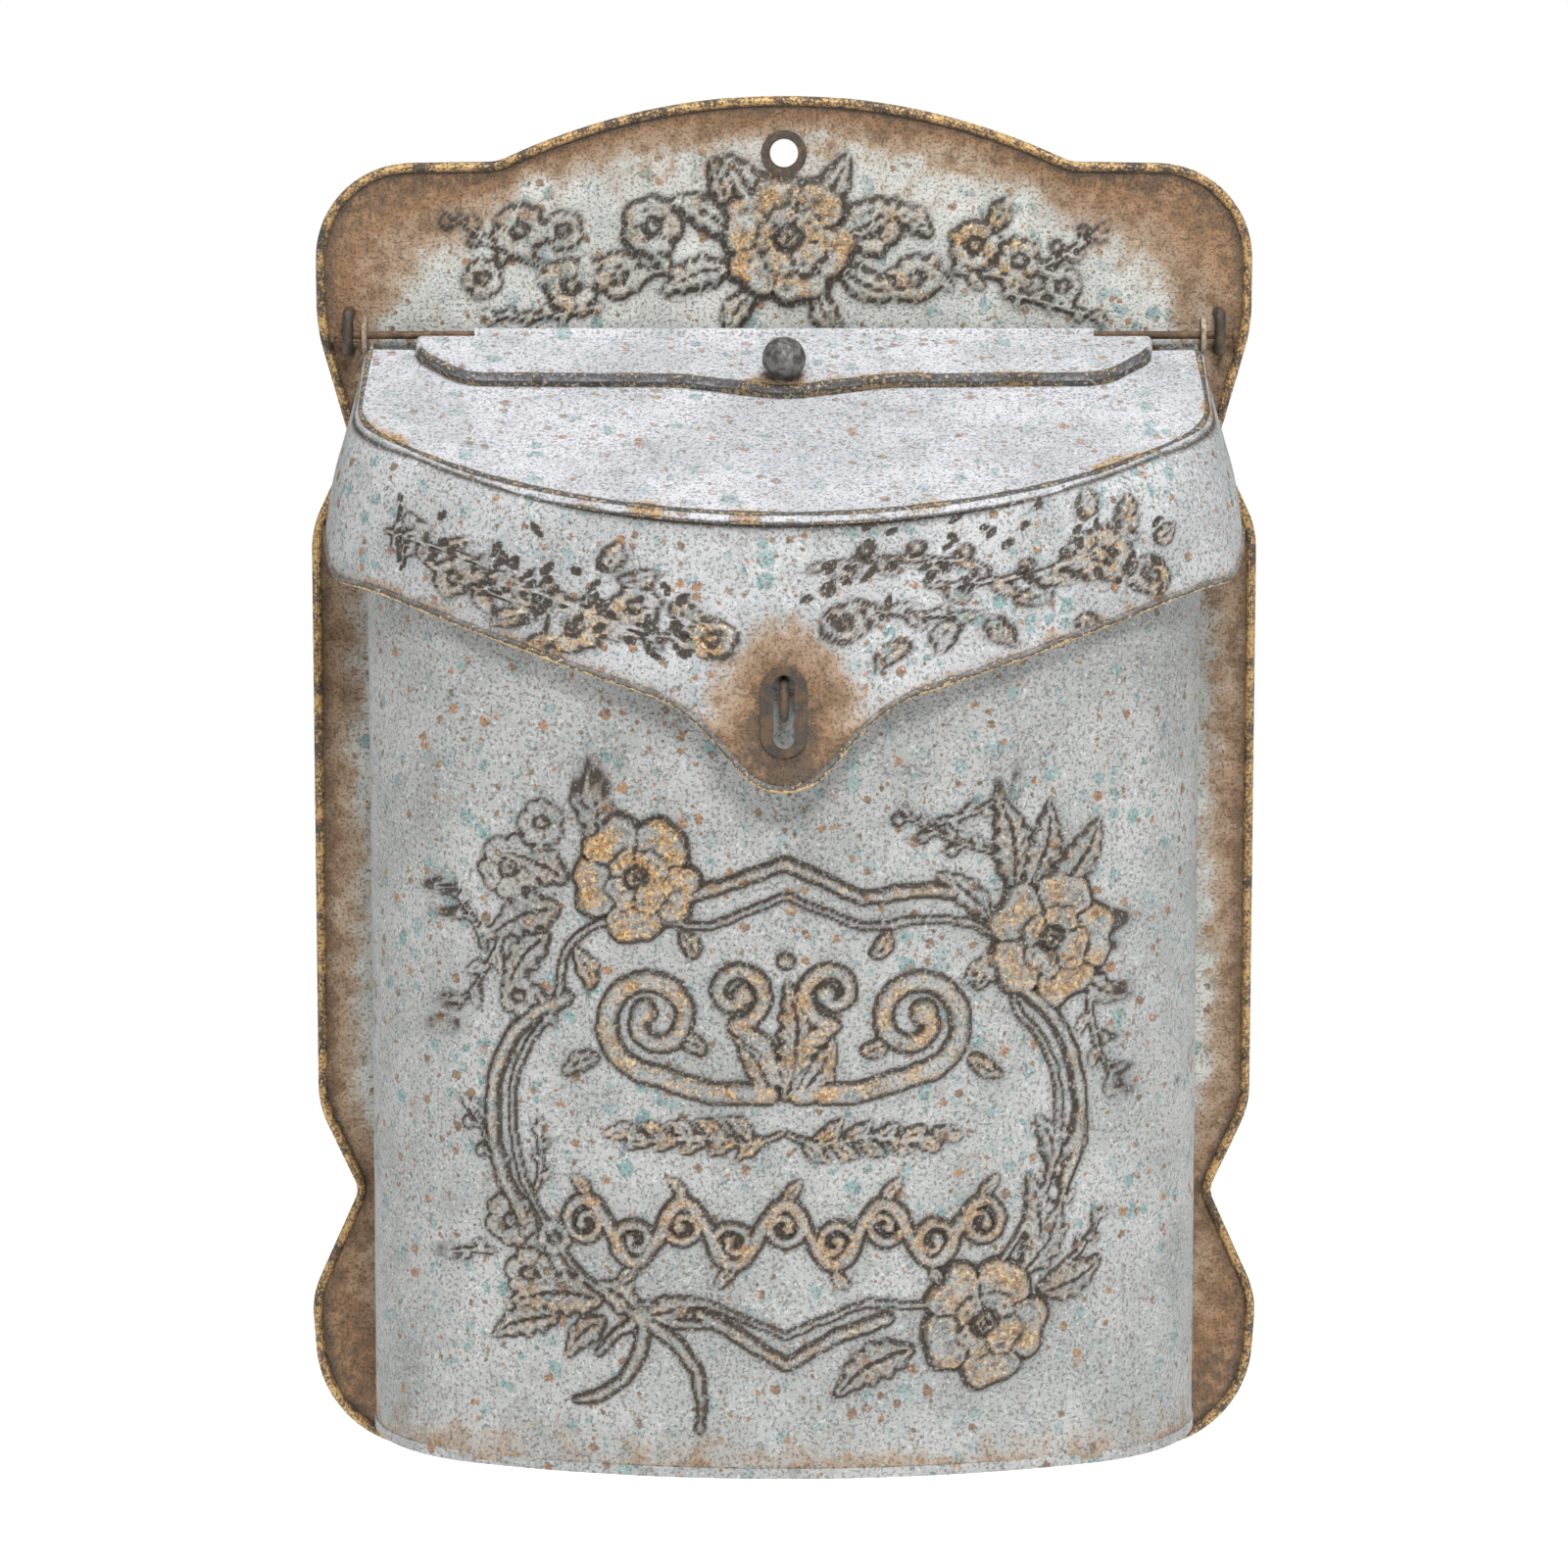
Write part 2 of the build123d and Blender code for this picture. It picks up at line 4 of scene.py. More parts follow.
import bmesh
import bpy
import numpy as np
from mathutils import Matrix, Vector


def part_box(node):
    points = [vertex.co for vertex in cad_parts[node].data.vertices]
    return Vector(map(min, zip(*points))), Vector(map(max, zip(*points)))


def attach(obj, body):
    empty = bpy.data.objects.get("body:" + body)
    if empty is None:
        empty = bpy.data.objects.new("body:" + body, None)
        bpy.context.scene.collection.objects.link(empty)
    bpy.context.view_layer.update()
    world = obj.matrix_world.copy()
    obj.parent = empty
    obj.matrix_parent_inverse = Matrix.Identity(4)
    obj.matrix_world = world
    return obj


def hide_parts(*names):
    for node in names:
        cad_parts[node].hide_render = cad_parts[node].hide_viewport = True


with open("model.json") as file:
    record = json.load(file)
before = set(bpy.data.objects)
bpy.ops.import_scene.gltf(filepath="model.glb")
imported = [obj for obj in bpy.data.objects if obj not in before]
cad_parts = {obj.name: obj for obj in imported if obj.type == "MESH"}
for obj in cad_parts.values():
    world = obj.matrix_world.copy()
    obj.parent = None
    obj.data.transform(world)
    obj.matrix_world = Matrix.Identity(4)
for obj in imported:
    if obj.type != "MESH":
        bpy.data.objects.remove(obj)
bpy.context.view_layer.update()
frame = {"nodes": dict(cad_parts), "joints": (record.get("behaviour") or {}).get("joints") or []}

# A tin wall mailbox. Lengths are millimetres, turned to metres on the way into a mesh.
mm = 0.001
farAway = 1e9  # before any distance is known


def nodeBox(node):
    low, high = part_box(node)
    return np.array(low) / mm, np.array(high) / mm


hinge = np.array(frame["joints"][0]["pos_m"]) / mm
plateLow, plateHigh = nodeBox("back_plate")
shellLow, shellHigh = nodeBox("body_shell")


# Meshes.


def unit(value):
    return np.clip(value, 0, 1)


# Bell of one at nought: e to the power of minus the square.
def hump(value):
    return np.exp(-(value**2))


# Quads over a grid of rows x cols points; wrap joins the last column to the first.
def gridFaces(rows, cols, wrap=False):
    last = cols if wrap else cols - 1
    r, c = np.meshgrid(np.arange(rows - 1), np.arange(last), indexing="ij")
    r, c = r.ravel(), c.ravel()
    d = (c + 1) % cols
    return np.stack([r * cols + c, r * cols + d, (r + 1) * cols + d, (r + 1) * cols + c], axis=1)


# The same quads with the last row joined to the first.
def joinEnds(faces, rows, cols):
    c = np.arange(cols)
    d = (c + 1) % cols
    base = (rows - 1) * cols
    return np.vstack([faces, np.stack([base + c, base + d, d, c], axis=1)])


# Points in mm and faces into one object that rides on a body; marks are per-point attributes.
def putPiece(name, points, faces, material, body, marks=None, replaces=(), weld=False, flat=35):
    mesh = bpy.data.meshes.new(name)
    every = []
    for block in faces:
        every += np.asarray(block).tolist()
    mesh.from_pydata((np.asarray(points) * mm).tolist(), [], every)
    for mark, values in (marks or {}).items():
        layer = mesh.attributes.new(mark, "FLOAT", "POINT")
        layer.data.foreach_set("value", np.asarray(values, dtype=np.float32).ravel())
    if weld:
        work = bmesh.new()
        work.from_mesh(mesh)
        bmesh.ops.remove_doubles(work, verts=work.verts, dist=0.00002)
        bmesh.ops.recalc_face_normals(work, faces=work.faces)
        work.to_mesh(mesh)
        work.free()
    mesh.polygons.foreach_set("use_smooth", [True] * len(mesh.polygons))
    mesh.set_sharp_from_angle(angle=math.radians(flat))
    mesh.materials.append(material)
    piece = bpy.data.objects.new(name, mesh)
    bpy.context.scene.collection.objects.link(piece)
    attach(piece, body)
    if replaces:
        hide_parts(*replaces)
    return piece


def thicken(piece, thickness):
    solid = piece.modifiers.new("wall", "SOLIDIFY")
    solid.thickness = thickness * mm
    solid.offset = -1
    solid.use_even_offset = False


# Only the kept quads, with unused points left out.
def tidyGrid(points, faces, marks, keep):
    faces = faces[keep]
    used = np.unique(faces)
    renumber = np.zeros(len(points), dtype=int)
    renumber[used] = np.arange(len(used))
    return points[used], renumber[faces], {k: np.asarray(v).reshape(-1)[used] for k, v in marks.items()}


# Tube: a circle carried along a path, turned so that its first spoke follows `out`.
def sweepRing(path, out, radius, sides=10, closed=True):
    if closed:
        along = np.roll(path, -1, axis=0) - np.roll(path, 1, axis=0)
    else:
        along = np.gradient(path, axis=0)
    along /= np.linalg.norm(along, axis=1)[:, None]
    out = out - (out * along).sum(1)[:, None] * along
    out /= np.linalg.norm(out, axis=1)[:, None]
    third = np.cross(along, out)
    turn = np.linspace(0, 2 * np.pi, sides, endpoint=False)
    r = np.broadcast_to(np.asarray(radius, dtype=float), (len(path),))[:, None, None]
    spokes = np.cos(turn)[None, :, None] * out[:, None] + np.sin(turn)[None, :, None] * third[:, None]
    points = path[:, None] + r * spokes
    faces = gridFaces(len(path), sides, wrap=True)
    if closed:
        faces = joinEnds(faces, len(path), sides)
    return points.reshape(-1, 3), faces[:, ::-1]


# Closes both ends of an open tube with a fan round a middle point.
def capped(points, faces, sides):
    n = len(points)
    first, last = points[:sides].mean(0), points[-sides:].mean(0)
    c = np.arange(sides)
    d = (c + 1) % sides
    start = np.stack([c, d, np.full(sides, n)], axis=1)
    end = np.stack([n - sides + d, n - sides + c, np.full(sides, n + 1)], axis=1)
    return np.vstack([points, first, last]), [faces, start, end]


# Relief: raised work pressed into the tin, as a height over the sheet.


# Height in mm over points (a, z) of a sheet, with how gilded and how darkened each point is.
class Relief:

    def __init__(self, a, z, warp=0.45):
        a, z = np.broadcast_arrays(a, z)
        self.a = a + warp * (wobble(a, z, 4.5, 61) + 0.6 * wobble(a, z, 1.6, 62))
        self.z = z + warp * (wobble(a, z, 4.5, 63) + 0.6 * wobble(a, z, 1.6, 64))
        self.height = np.zeros(a.shape)
        self.gilt = np.zeros(a.shape)
        self.dark = np.zeros(a.shape)

    def raiseTo(self, height, gilt=0.0):
        self.gilt = np.where(height > np.maximum(self.height, 0.15), gilt, self.gilt)
        self.height = np.maximum(self.height, height)

    # Distance from nearby points to a run of straight pieces, and how far along it lies.
    def away(self, points, margin=7.0):
        best = np.full(self.a.shape, 1e3)
        part = np.zeros(self.a.shape)
        points = np.asarray(points, dtype=float)
        low, high = points.min(0) - margin, points.max(0) + margin
        near = (self.a > low[0]) & (self.a < high[0]) & (self.z > low[1]) & (self.z < high[1])
        a, z = self.a[near], self.z[near]
        far, share = np.full(a.shape, 1e3), np.zeros(a.shape)
        for i, (p, q) in enumerate(zip(points[:-1], points[1:])):
            d = q - p
            t = unit(((a - p[0]) * d[0] + (z - p[1]) * d[1]) / (d @ d))
            gap = np.hypot(a - p[0] - t * d[0], z - p[1] - t * d[1])
            share = np.where(gap < far, (i + t) / (len(points) - 1), share)
            far = np.minimum(far, gap)
        best[near], part[near] = far, share
        return best, part

    # Half-round rib: height times the root of one minus the squared share of its half width.
    def bead(self, points, width, height, gilt=0.0, taper=0.0):
        far, part = self.away(points)
        half = width / 2 * (1 - taper * part)
        self.raiseTo(height * np.sqrt(unit(1 - (far / half) ** 2)), gilt)

    # Pointed leaf: a dome across, fading to its tip, with a midrib and slanting veins cut in.
    def leaf(self, x, z, turn, length, width, height=1.3, gilt=0.25):
        c, s = math.cos(math.radians(turn)), math.sin(math.radians(turn))
        p = ((self.a - x) * c + (self.z - z) * s) / length
        q = (self.z - z) * c - (self.a - x) * s
        q = q + 0.09 * length * np.sin(unit(p) * np.pi)
        share = unit(p)
        half = width / 2 * np.sin(np.pi * share**0.75) * (1 + 0.16 * np.sin(share * length * 1.5)) + 1e-3
        across = unit(np.abs(q) / half)
        dome = np.sqrt(1 - across**2) * ((p > 0) & (p < 1))
        rib = 0.5 * hump(q / 0.6)
        veins = 0.12 * (1 + np.cos((share * length - np.abs(q) * 0.9) * 2.0)) * (1 - rib)
        fold = 0.22 * np.where(q > 0, across, -across)
        self.raiseTo(height * dome * (1 - rib - veins + fold) * (1.15 - 0.35 * share), gilt)

    # Ring of petals: lobes from a cosine of the angle, rising to a rolled rim, creased between.
    def petals(self, r, angle, radius, count, low, high):
        lobe = np.abs(np.cos(angle * count / 2))
        notch = 0.07 * hump((1 - lobe) / 0.12) * np.cos(angle * count)
        edge = radius * (0.74 + 0.26 * lobe**0.55 - np.abs(notch) + 0.035 * np.sin(angle * 7 + radius))
        share = unit(r / edge)
        inside = unit((1 - share) * radius / 1.6) ** 0.5
        rise = low + (high - low) * share**1.6 - 0.10 * high * hump(
            (share - 0.7 - 0.08 * np.sin(angle * 3)) / 0.08
        )
        crease = 0.42 * high * hump(lobe * r / 1.1) * share
        ruffle = 0.10 * high * np.sin(angle * count * 3 + share * 5) * share**2
        return (rise - crease + ruffle) * inside

    # Open rose: an outer and an inner ring of petals round a seeded middle.
    def flower(self, x, z, radius, petals=6, height=2.2, turn=0.0, gilt=0.5, centre=0.26):
        dx, dz = self.a - x, self.z - z
        r = np.hypot(dx, dz)
        angle = np.arctan2(dz, dx) + math.radians(turn)
        body = self.petals(r, angle, radius, petals, height * 0.25, height * 0.85)
        if radius > 10:
            off = np.hypot(dx - radius * 0.06, dz + radius * 0.05)
            inner = self.petals(off, angle + 0.45, radius * 0.56, petals - 1, height * 0.4, height * 0.88)
            body = np.maximum(body, inner)
        middle = radius * centre * 0.62
        seeds = 0.2 * np.cos(dx * 2.6 + 1) * np.cos(dz * 2.6)
        button = height * (0.95 + seeds - 0.4 * hump(r / middle * 2.2)) * unit((middle + 0.5 - r) / 0.7)
        moat = 0.3 * height * hump((r - middle - 0.9) / 0.8) * (0.6 + 0.4 * np.sin(angle * 2))
        self.raiseTo(np.maximum(body - moat * (r < radius * 0.6), button), gilt)

    # Small pointed dent, dark inside.
    def slit(self, x, z, turn, length, width, depth=0.45):
        c, s = math.cos(math.radians(turn)), math.sin(math.radians(turn))
        p = ((self.a - x) * c + (self.z - z) * s) / length * 2
        q = ((self.z - z) * c - (self.a - x) * s) / width * 2
        dent = unit(1 - p**2 - q**2)
        self.height = self.height - depth * dent
        self.dark = np.maximum(self.dark, unit(dent * 2.2))

    def berry(self, x, z, radius, height=1.0, gilt=0.2):
        r = np.hypot(self.a - x, self.z - z) / radius
        self.raiseTo(height * np.sqrt(unit(1 - r**2)), gilt)

    # Curved stem with leaves alternately either side and one at its tip.
    def sprig(self, x, z, turn, length, bend=25.0, leaves=5, size=6.0, gilt=0.2, berries=False):
        t = np.linspace(0, 1, 8)
        heading = np.radians(turn + bend * t)
        step = length / 7
        xs = x + np.concatenate([[0], np.cumsum(np.cos(heading[:-1]) * step)])
        zs = z + np.concatenate([[0], np.cumsum(np.sin(heading[:-1]) * step)])
        self.bead(np.stack([xs, zs], axis=1), 1.3, 0.8, gilt, taper=0.4)
        for i in range(leaves):
            at = (i + 0.7) / leaves
            px, pz = np.interp(at, t, xs), np.interp(at, t, zs)
            side = 1 if i % 2 else -1
            way = turn + bend * at + side * 42
            if berries and i % 2:
                self.bead(
                    [
                        (px, pz),
                        (px + 3 * math.cos(math.radians(way)), pz + 3 * math.sin(math.radians(way)))
                    ],
                    0.9, 0.6
                )
                self.berry(
                    px + 4 * math.cos(math.radians(way)), pz + 4 * math.sin(math.radians(way)), 1.5, 1.2,
                    gilt
                )
            else:
                self.leaf(px, pz, way, size * (1 - 0.3 * at), size * 0.42, 1.1, gilt)
        self.leaf(xs[-1], zs[-1], turn + bend, size * 0.8, size * 0.36, 1.0, gilt)

    # Spiral rib that closes in on its eye, where a boss ends it.
    def scroll(self, x, z, radius, start, turns, width=2.6, height=1.3, gilt=0.5, tail=None):
        t = np.linspace(0, 1, 26)
        angle = np.radians(start) + turns * 2 * np.pi * t
        r = radius * (1 - t * 0.78)
        path = np.stack([x + r * np.cos(angle), z + r * np.sin(angle)], axis=1)
        if tail is not None:
            path = np.vstack([tail, path])
        self.bead(path, width, height, gilt, taper=0.25)
        self.berry(path[-1, 0], path[-1, 1], width * 0.62, height * 1.15, gilt)

    # Dark antique wash: where the height is under its own blur, and on steep flanks.
    def wash(self):
        soft, wide = blur(self.height, 3), blur(self.height, 12)
        slopeZ, slopeA = np.gradient(self.height)
        steep = np.clip(np.hypot(slopeZ, slopeA) * 1.1 - 0.18, 0, 0.5)
        raised = 0.2 * unit(self.height)
        return unit((soft - self.height) * 4.0) + np.clip((wide - self.height) * 0.6, 0, 0.3) + steep + raised


def blur(field, times):
    for _ in range(times):
        p = np.pad(field, 1, mode="edge")
        field = (p[1:-1, 1:-1] * 2 + p[:-2, 1:-1] + p[2:, 1:-1] + p[1:-1, :-2] + p[1:-1, 2:]) / 6
    return field


# Smooth unevenness: a sum of six seeded sine waves, about -1 to 1.
def wobble(x, z, size, seed):
    draw = np.random.default_rng(seed)
    total = 0
    for _ in range(6):
        kx, kz = draw.normal(0, 1 / size, 2)
        total = total + np.sin(kx * x * 2 + kz * z * 2 + draw.uniform(0, 6.3))
    return total / 6


# Shaders.


# A socket's value; arithmetic on it adds Math nodes.
class Val:

    def __init__(self, shop, socket):
        self.shop, self.socket = shop, socket

    def math(self, operation, *others, clamp=False):
        return self.shop.node(
            "ShaderNodeMath", {"operation": operation, "use_clamp": clamp},
            dict(enumerate([self, *others]))
        )

    def __add__(self, other):
        return self.math("ADD", other)

    def __sub__(self, other):
        return self.math("SUBTRACT", other)

    def __rsub__(self, other):
        return self.shop.node("ShaderNodeMath", {"operation": "SUBTRACT"}, {0: other, 1: self})

    def __mul__(self, other):
        return self.math("MULTIPLY", other)

    def __truediv__(self, other):
        return self.math("DIVIDE", other)

    __radd__ = __add__
    __rmul__ = __mul__

    def clamped(self):
        return self.math("ADD", 0.0, clamp=True)

    def atLeast(self, other):
        return self.math("MAXIMUM", other)

    def out(self, name):
        return Val(self.shop, self.socket.node.outputs[name])


# One material being built on a Principled shader.
class Shop:

    def __init__(self, name):
        self.material = bpy.data.materials.new(name)
        self.material.use_nodes = True
        self.tree = self.material.node_tree
        self.shader = self.tree.nodes["Principled BSDF"]
        self.place = self.node("ShaderNodeTexCoord", {}, {}).out("Object")

    def node(self, kind, settings, sockets):
        made = self.tree.nodes.new(kind)
        for key, value in settings.items():
            setattr(made, key, value)
        for key, value in sockets.items():
            self.plug(made.inputs[key], value)
        return Val(self, next(o for o in made.outputs if o.enabled))

    def plug(self, socket, value):
        if isinstance(value, Val):
            self.tree.links.new(value.socket, socket)
        else:
            socket.default_value = value

    def mark(self, name):
        return self.node("ShaderNodeAttribute", {"attribute_name": name}, {}).out("Fac")

    # Noise whose features are about `size` mm.
    def noise(self, size, detail=3.0, rough=0.55, place=None):
        return self.node(
            "ShaderNodeTexNoise", {},
            {
                "Vector": place or self.place, "Scale": 1 / (size * mm), "Detail": detail,
                "Roughness": rough
            }
        )

    def mix(self, amount, a, b, blend="MIX"):
        return self.node("ShaderNodeMix", {"data_type": "RGBA", "blend_type": blend}, {0: amount, 6: a, 7: b})

    def step(self, value, low, high):
        return self.node(
            "ShaderNodeMapRange", {"interpolation_type": "SMOOTHSTEP"},
            {0: value, 1: low, 2: high, 3: 0.0, 4: 1.0}
        )

    # Object coordinates pushed about by noise, so that blobs aren't round.
    def jitter(self, size, reach):
        noise = self.noise(size, 2.0).out("Color")
        centred = self.node("ShaderNodeVectorMath", {"operation": "SUBTRACT"}, {0: noise, 1: (0.5, 0.5, 0.5)})
        moved = self.node("ShaderNodeVectorMath", {"operation": "SCALE"}, {0: centred, "Scale": reach * mm})
        return self.node("ShaderNodeVectorMath", {"operation": "ADD"}, {0: self.place, 1: moved})

    # Blobs of paint: one to a Voronoi cell, each of its own size, in a share of the cells.
    def spots(self, cell, largest, share, soft=0.3, shift=0.0):
        place = self.jitter(largest * 0.9, largest * 1.1)
        place = self.node(
            "ShaderNodeVectorMath", {"operation": "ADD"}, {0: place, 1: (shift, shift * 0.7, shift * 1.3)}
        )
        cells = self.node("ShaderNodeTexVoronoi", {}, {"Vector": place, "Scale": 1 / (cell * mm)})
        pick = self.node("ShaderNodeSeparateColor", {}, {0: cells.out("Color")})
        reach = (pick.out("Red") - (1 - share)) / share * (largest / cell)
        return self.step(reach - cells.out("Distance"), 0.0, soft * largest / cell)

    def finish(self, colour, roughness, height, metallic=0.0, depth=0.3, strength=0.8):
        self.plug(self.shader.inputs["Base Color"], colour)
        self.plug(self.shader.inputs["Roughness"], roughness)
        self.plug(self.shader.inputs["Metallic"], metallic)
        bump = self.node(
            "ShaderNodeBump", {}, {"Strength": strength, "Distance": depth * mm, "Height": height}
        )
        self.plug(self.shader.inputs["Normal"], bump)
        return self.material


paint = {
    "light": (0.44, 0.442, 0.432, 1),
    "grey": (0.33, 0.338, 0.328, 1),
    "teal": (0.17, 0.29, 0.29, 1),
    "ochre": (0.34, 0.165, 0.06, 1),
    "warm": (0.30, 0.185, 0.10, 1),
    "beige": (0.40, 0.30, 0.20, 1),
    "rust": (0.165, 0.09, 0.04, 1),
    "brown": (0.05, 0.037, 0.027, 1),
    "dark": (0.026, 0.022, 0.019, 1),
    "gold": (0.62, 0.41, 0.17, 1),
}


# Chalky grey-white paint on tin: stippled, freckled with teal and ochre, rusted where marked.
def paintedTin(name, stain=0.0, wear=0.0, spot=1.0, golden=1.0, paintedLightTone=(1, 1, 1)):
    shop = Shop(name)
    rim = shop.mark("rim") + wear
    wash = shop.mark("wash")
    gilt = shop.mark("gilt")
    rustMark = shop.mark("rust")
    grain = shop.noise(1.1, 3.0, 0.7)
    pits = shop.noise(0.85, 2.0, 0.6)
    cloud = shop.noise(30.0, 4.0, 0.65)
    patch = shop.noise(8.0, 4.0, 0.65)
    # The grey and light paint are scaled per copy: painted light, lighter and bluer for parts that catch more
    # light.
    grey, light = ([c * t for c, t in zip(paint[key], paintedLightTone)] + [1] for key in ("grey", "light"))
    colour = shop.mix(shop.step(cloud, 0.34, 0.66), grey, light)
    colour = shop.mix(shop.step(patch, 0.52, 0.75) * 0.3, colour, paint["warm"], "MULTIPLY")
    tealSpots = shop.spots(4.6, 2.9, 0.62)
    tealFine = shop.spots(2.9, 1.2, 0.5, shift=0.21)
    teal = tealSpots.atLeast(tealFine) * (0.25 + 0.6 * shop.step(cloud + patch, 0.85, 1.15)) * spot
    colour = shop.mix(teal.clamped(), colour, paint["teal"])
    freckles = shop.spots(4.0, 1.8, 0.6, shift=0.43)
    fine = shop.spots(2.4, 0.85, 0.5, shift=0.77)
    tan = shop.mix(shop.step(patch, 0.4, 0.6), paint["rust"], paint["ochre"])
    colour = shop.mix((freckles.atLeast(fine) * 0.85 * spot).clamped(), colour, tan)
    rustBed = (
        rustMark + (patch - 0.5) * 1.3 * shop.step(rustMark, 0.02, 0.25)
        + (grain - 0.5) * 0.35 * shop.step(rustMark, 0.02, 0.3) + stain
    ).clamped()
    mottle = shop.noise(3.2, 4.0, 0.7)
    bedding = shop.mix(shop.step(mottle * 0.7 + cloud * 0.6, 0.58, 0.76) * 0.8, paint["warm"], paint["beige"])
    colour = shop.mix(shop.step(rustBed, 0.08, 0.62) * 0.92, colour, bedding)
    colour = shop.mix(
        shop.step(rustBed + (patch - 0.5) * 1.1 + (mottle - 0.5) * 1.5, 0.55, 1.05) * 0.85, colour,
        paint["rust"]
    )
    orange = shop.step(
        rustBed - (patch - 0.5) * 1.6 + (mottle - 0.5) * 0.8 + (grain - 0.5) * 0.8, 0.75, 1.1
    ) * 0.6
    colour = shop.mix(orange, colour, paint["ochre"])
    deep = shop.step(rustMark + (mottle - 0.5) * 2.0 + (grain - 0.5) * 1.0, 0.92, 1.45) * 0.68
    colour = shop.mix(deep, colour, paint["brown"])
    dirty = (wash * (0.85 + patch * 0.6) + (grain - 0.5) * 0.8 * shop.step(wash, 0.05, 0.4)).clamped()
    colour = shop.mix(dirty, colour, paint["brown"])
    leafed = (gilt * 1.25 * shop.step(patch + (grain - 0.5) * 1.1, 0.46, 0.60) * (1.25 - wash)).clamped()
    colour = shop.mix(
        (leafed * 0.9).clamped(), colour,
        shop.mix(shop.step(grain, 0.42, 0.62), paint["ochre"], paint["gold"])
    )
    edge = shop.step(rim + (patch - 0.5) * 0.6 + (grain - 0.5) * 0.4, 0.42, 0.85)
    colour = shop.mix(edge * 0.9, colour, paint["dark"])
    worn = shop.step(rim * 0.8 + (grain - 0.5) * 1.7 + (patch - 0.5) * 1.4, 0.78, 0.95)
    colour = shop.mix((worn * 0.8 * golden).clamped(), colour, paint["gold"])
    colour = shop.mix(shop.step(pits, 0.46, 0.36) * 0.52, colour, paint["brown"])
    colour = shop.mix(
        shop.step(grain, 0.54, 0.68) * (0.35 - rustBed * 0.3), colour, (0.78, 0.79, 0.78, 1), "SCREEN"
    )
    height = grain * 0.7 + shop.step(pits, 0.34, 0.5) * 0.5 + tealSpots * 0.1
    roughness = 0.62 + (grain - 0.5) * 0.3 - leafed * 0.2
    return shop.finish(colour, roughness, height, leafed * 0.35, depth=0.5, strength=0.8)


# Old bare steel: dark, pitted, with brown rust in its hollows and worn high spots.
def darkSteel(name, base, warm, shine):
    shop = Shop(name)
    grain = shop.noise(0.7, 4.0, 0.7)
    patch = shop.noise(3.0, 3.0, 0.6)
    colour = shop.mix(shop.step(patch, 0.4, 0.62), base, warm)
    colour = shop.mix(shop.step(grain, 0.58, 0.72) * 0.55, colour, (0.30, 0.27, 0.24, 1))
    colour = shop.mix(shop.step(grain, 0.42, 0.3) * 0.6, colour, paint["dark"])
    return shop.finish(
        colour, 0.62 - shine + (grain - 0.5) * 0.4, grain + patch * 0.5, 0.55, depth=0.35, strength=0.8
    )


# The plate's rolled edge: dark brown with the gold worn through along it.
def rimMetal(name):
    shop = Shop(name)
    grain = shop.noise(0.8, 4.0, 0.7)
    patch = shop.noise(5.0, 4.0, 0.65)
    colour = shop.mix(shop.step(patch, 0.35, 0.6), paint["brown"], paint["rust"])
    wear = shop.step(grain * 0.7 + patch * 0.4, 0.53, 0.61)
    colour = shop.mix((wear * 0.8).clamped(), colour, paint["gold"])
    colour = shop.mix(shop.step(grain, 0.42, 0.32) * 0.7, colour, paint["dark"])
    return shop.finish(colour, 0.6 - wear * 0.15, grain, wear * 0.4, depth=0.3, strength=0.8)


tin = paintedTin("paintedTin")
# The skirt, lid top and back plate copies are the same paint made lighter and bluer: painted light where the
# light falls stronger.
skirtTin = paintedTin("skirtTin", paintedLightTone=(1.10, 1.09, 1.12))
plainTin = paintedTin("plainTin", stain=0.1)
topTin = paintedTin("topTin", spot=0.75, golden=0.5, paintedLightTone=(1.30, 1.28, 1.36))
hemTin = paintedTin("hemTin", stain=0.3, wear=0.5)
earTin = paintedTin("earTin", stain=0.5, wear=0.5, golden=0.6)
plateTin = paintedTin("plateTin", paintedLightTone=(1.36, 1.34, 1.28))
knobSteel = darkSteel("knobSteel", (0.085, 0.083, 0.08, 1), (0.24, 0.23, 0.22, 1), 0.2)
rimTin = rimMetal("rimMetal")
steel = darkSteel("darkSteel", (0.06, 0.052, 0.045, 1), (0.12, 0.075, 0.045, 1), 0.12)
wire = darkSteel("rustyWire", (0.10, 0.065, 0.04, 1), (0.20, 0.12, 0.065, 1), 0.0)
print("materials made")


# Plans.


# Bow-fronted plan from the middle (0) to a rear edge (+-1): flat arc, corner arc, straight side.
def bowPlan(s, half, depth, plan, rear):
    corner, straight = plan["corner"], plan["straight"]
    reach = depth - straight
    front = ((half - corner) ** 2 + reach**2 - corner**2) / (2 * (reach - corner))
    lean = np.arctan2(half - corner, front - reach)
    t = np.abs(s)
    one, two = plan["frontShare"], plan["cornerShare"]
    swing = lean * unit(t / one)
    sweep = lean + (np.pi / 2 - lean) * unit((t - one) / (two - one))
    run = unit((t - two) / (1 - two))
    x = np.where(t < one, front * np.sin(swing), half - corner + corner * np.sin(sweep))
    y = np.where(t < one, front - depth - front * np.cos(swing), -straight - corner * np.cos(sweep))
    y = y + run * (straight - rear)
    turn = np.where(t < one, swing, sweep)
    return x * np.sign(s + 1e-12), y, np.sin(turn) * np.sign(s + 1e-12), -np.cos(turn)


# Where the arcs meet, as shares of half the plan's length; also that length.
def planShares(half, depth, plan, rear):
    corner, straight = plan["corner"], plan["straight"]
    reach = depth - straight
    front = ((half - corner) ** 2 + reach**2 - corner**2) / (2 * (reach - corner))
    lean = math.atan2(half - corner, front - reach)
    a, b = front * lean, corner * (math.pi / 2 - lean)
    total = a + b + straight - rear
    plan["frontShare"], plan["cornerShare"], plan["length"] = a / total, (a + b) / total, total


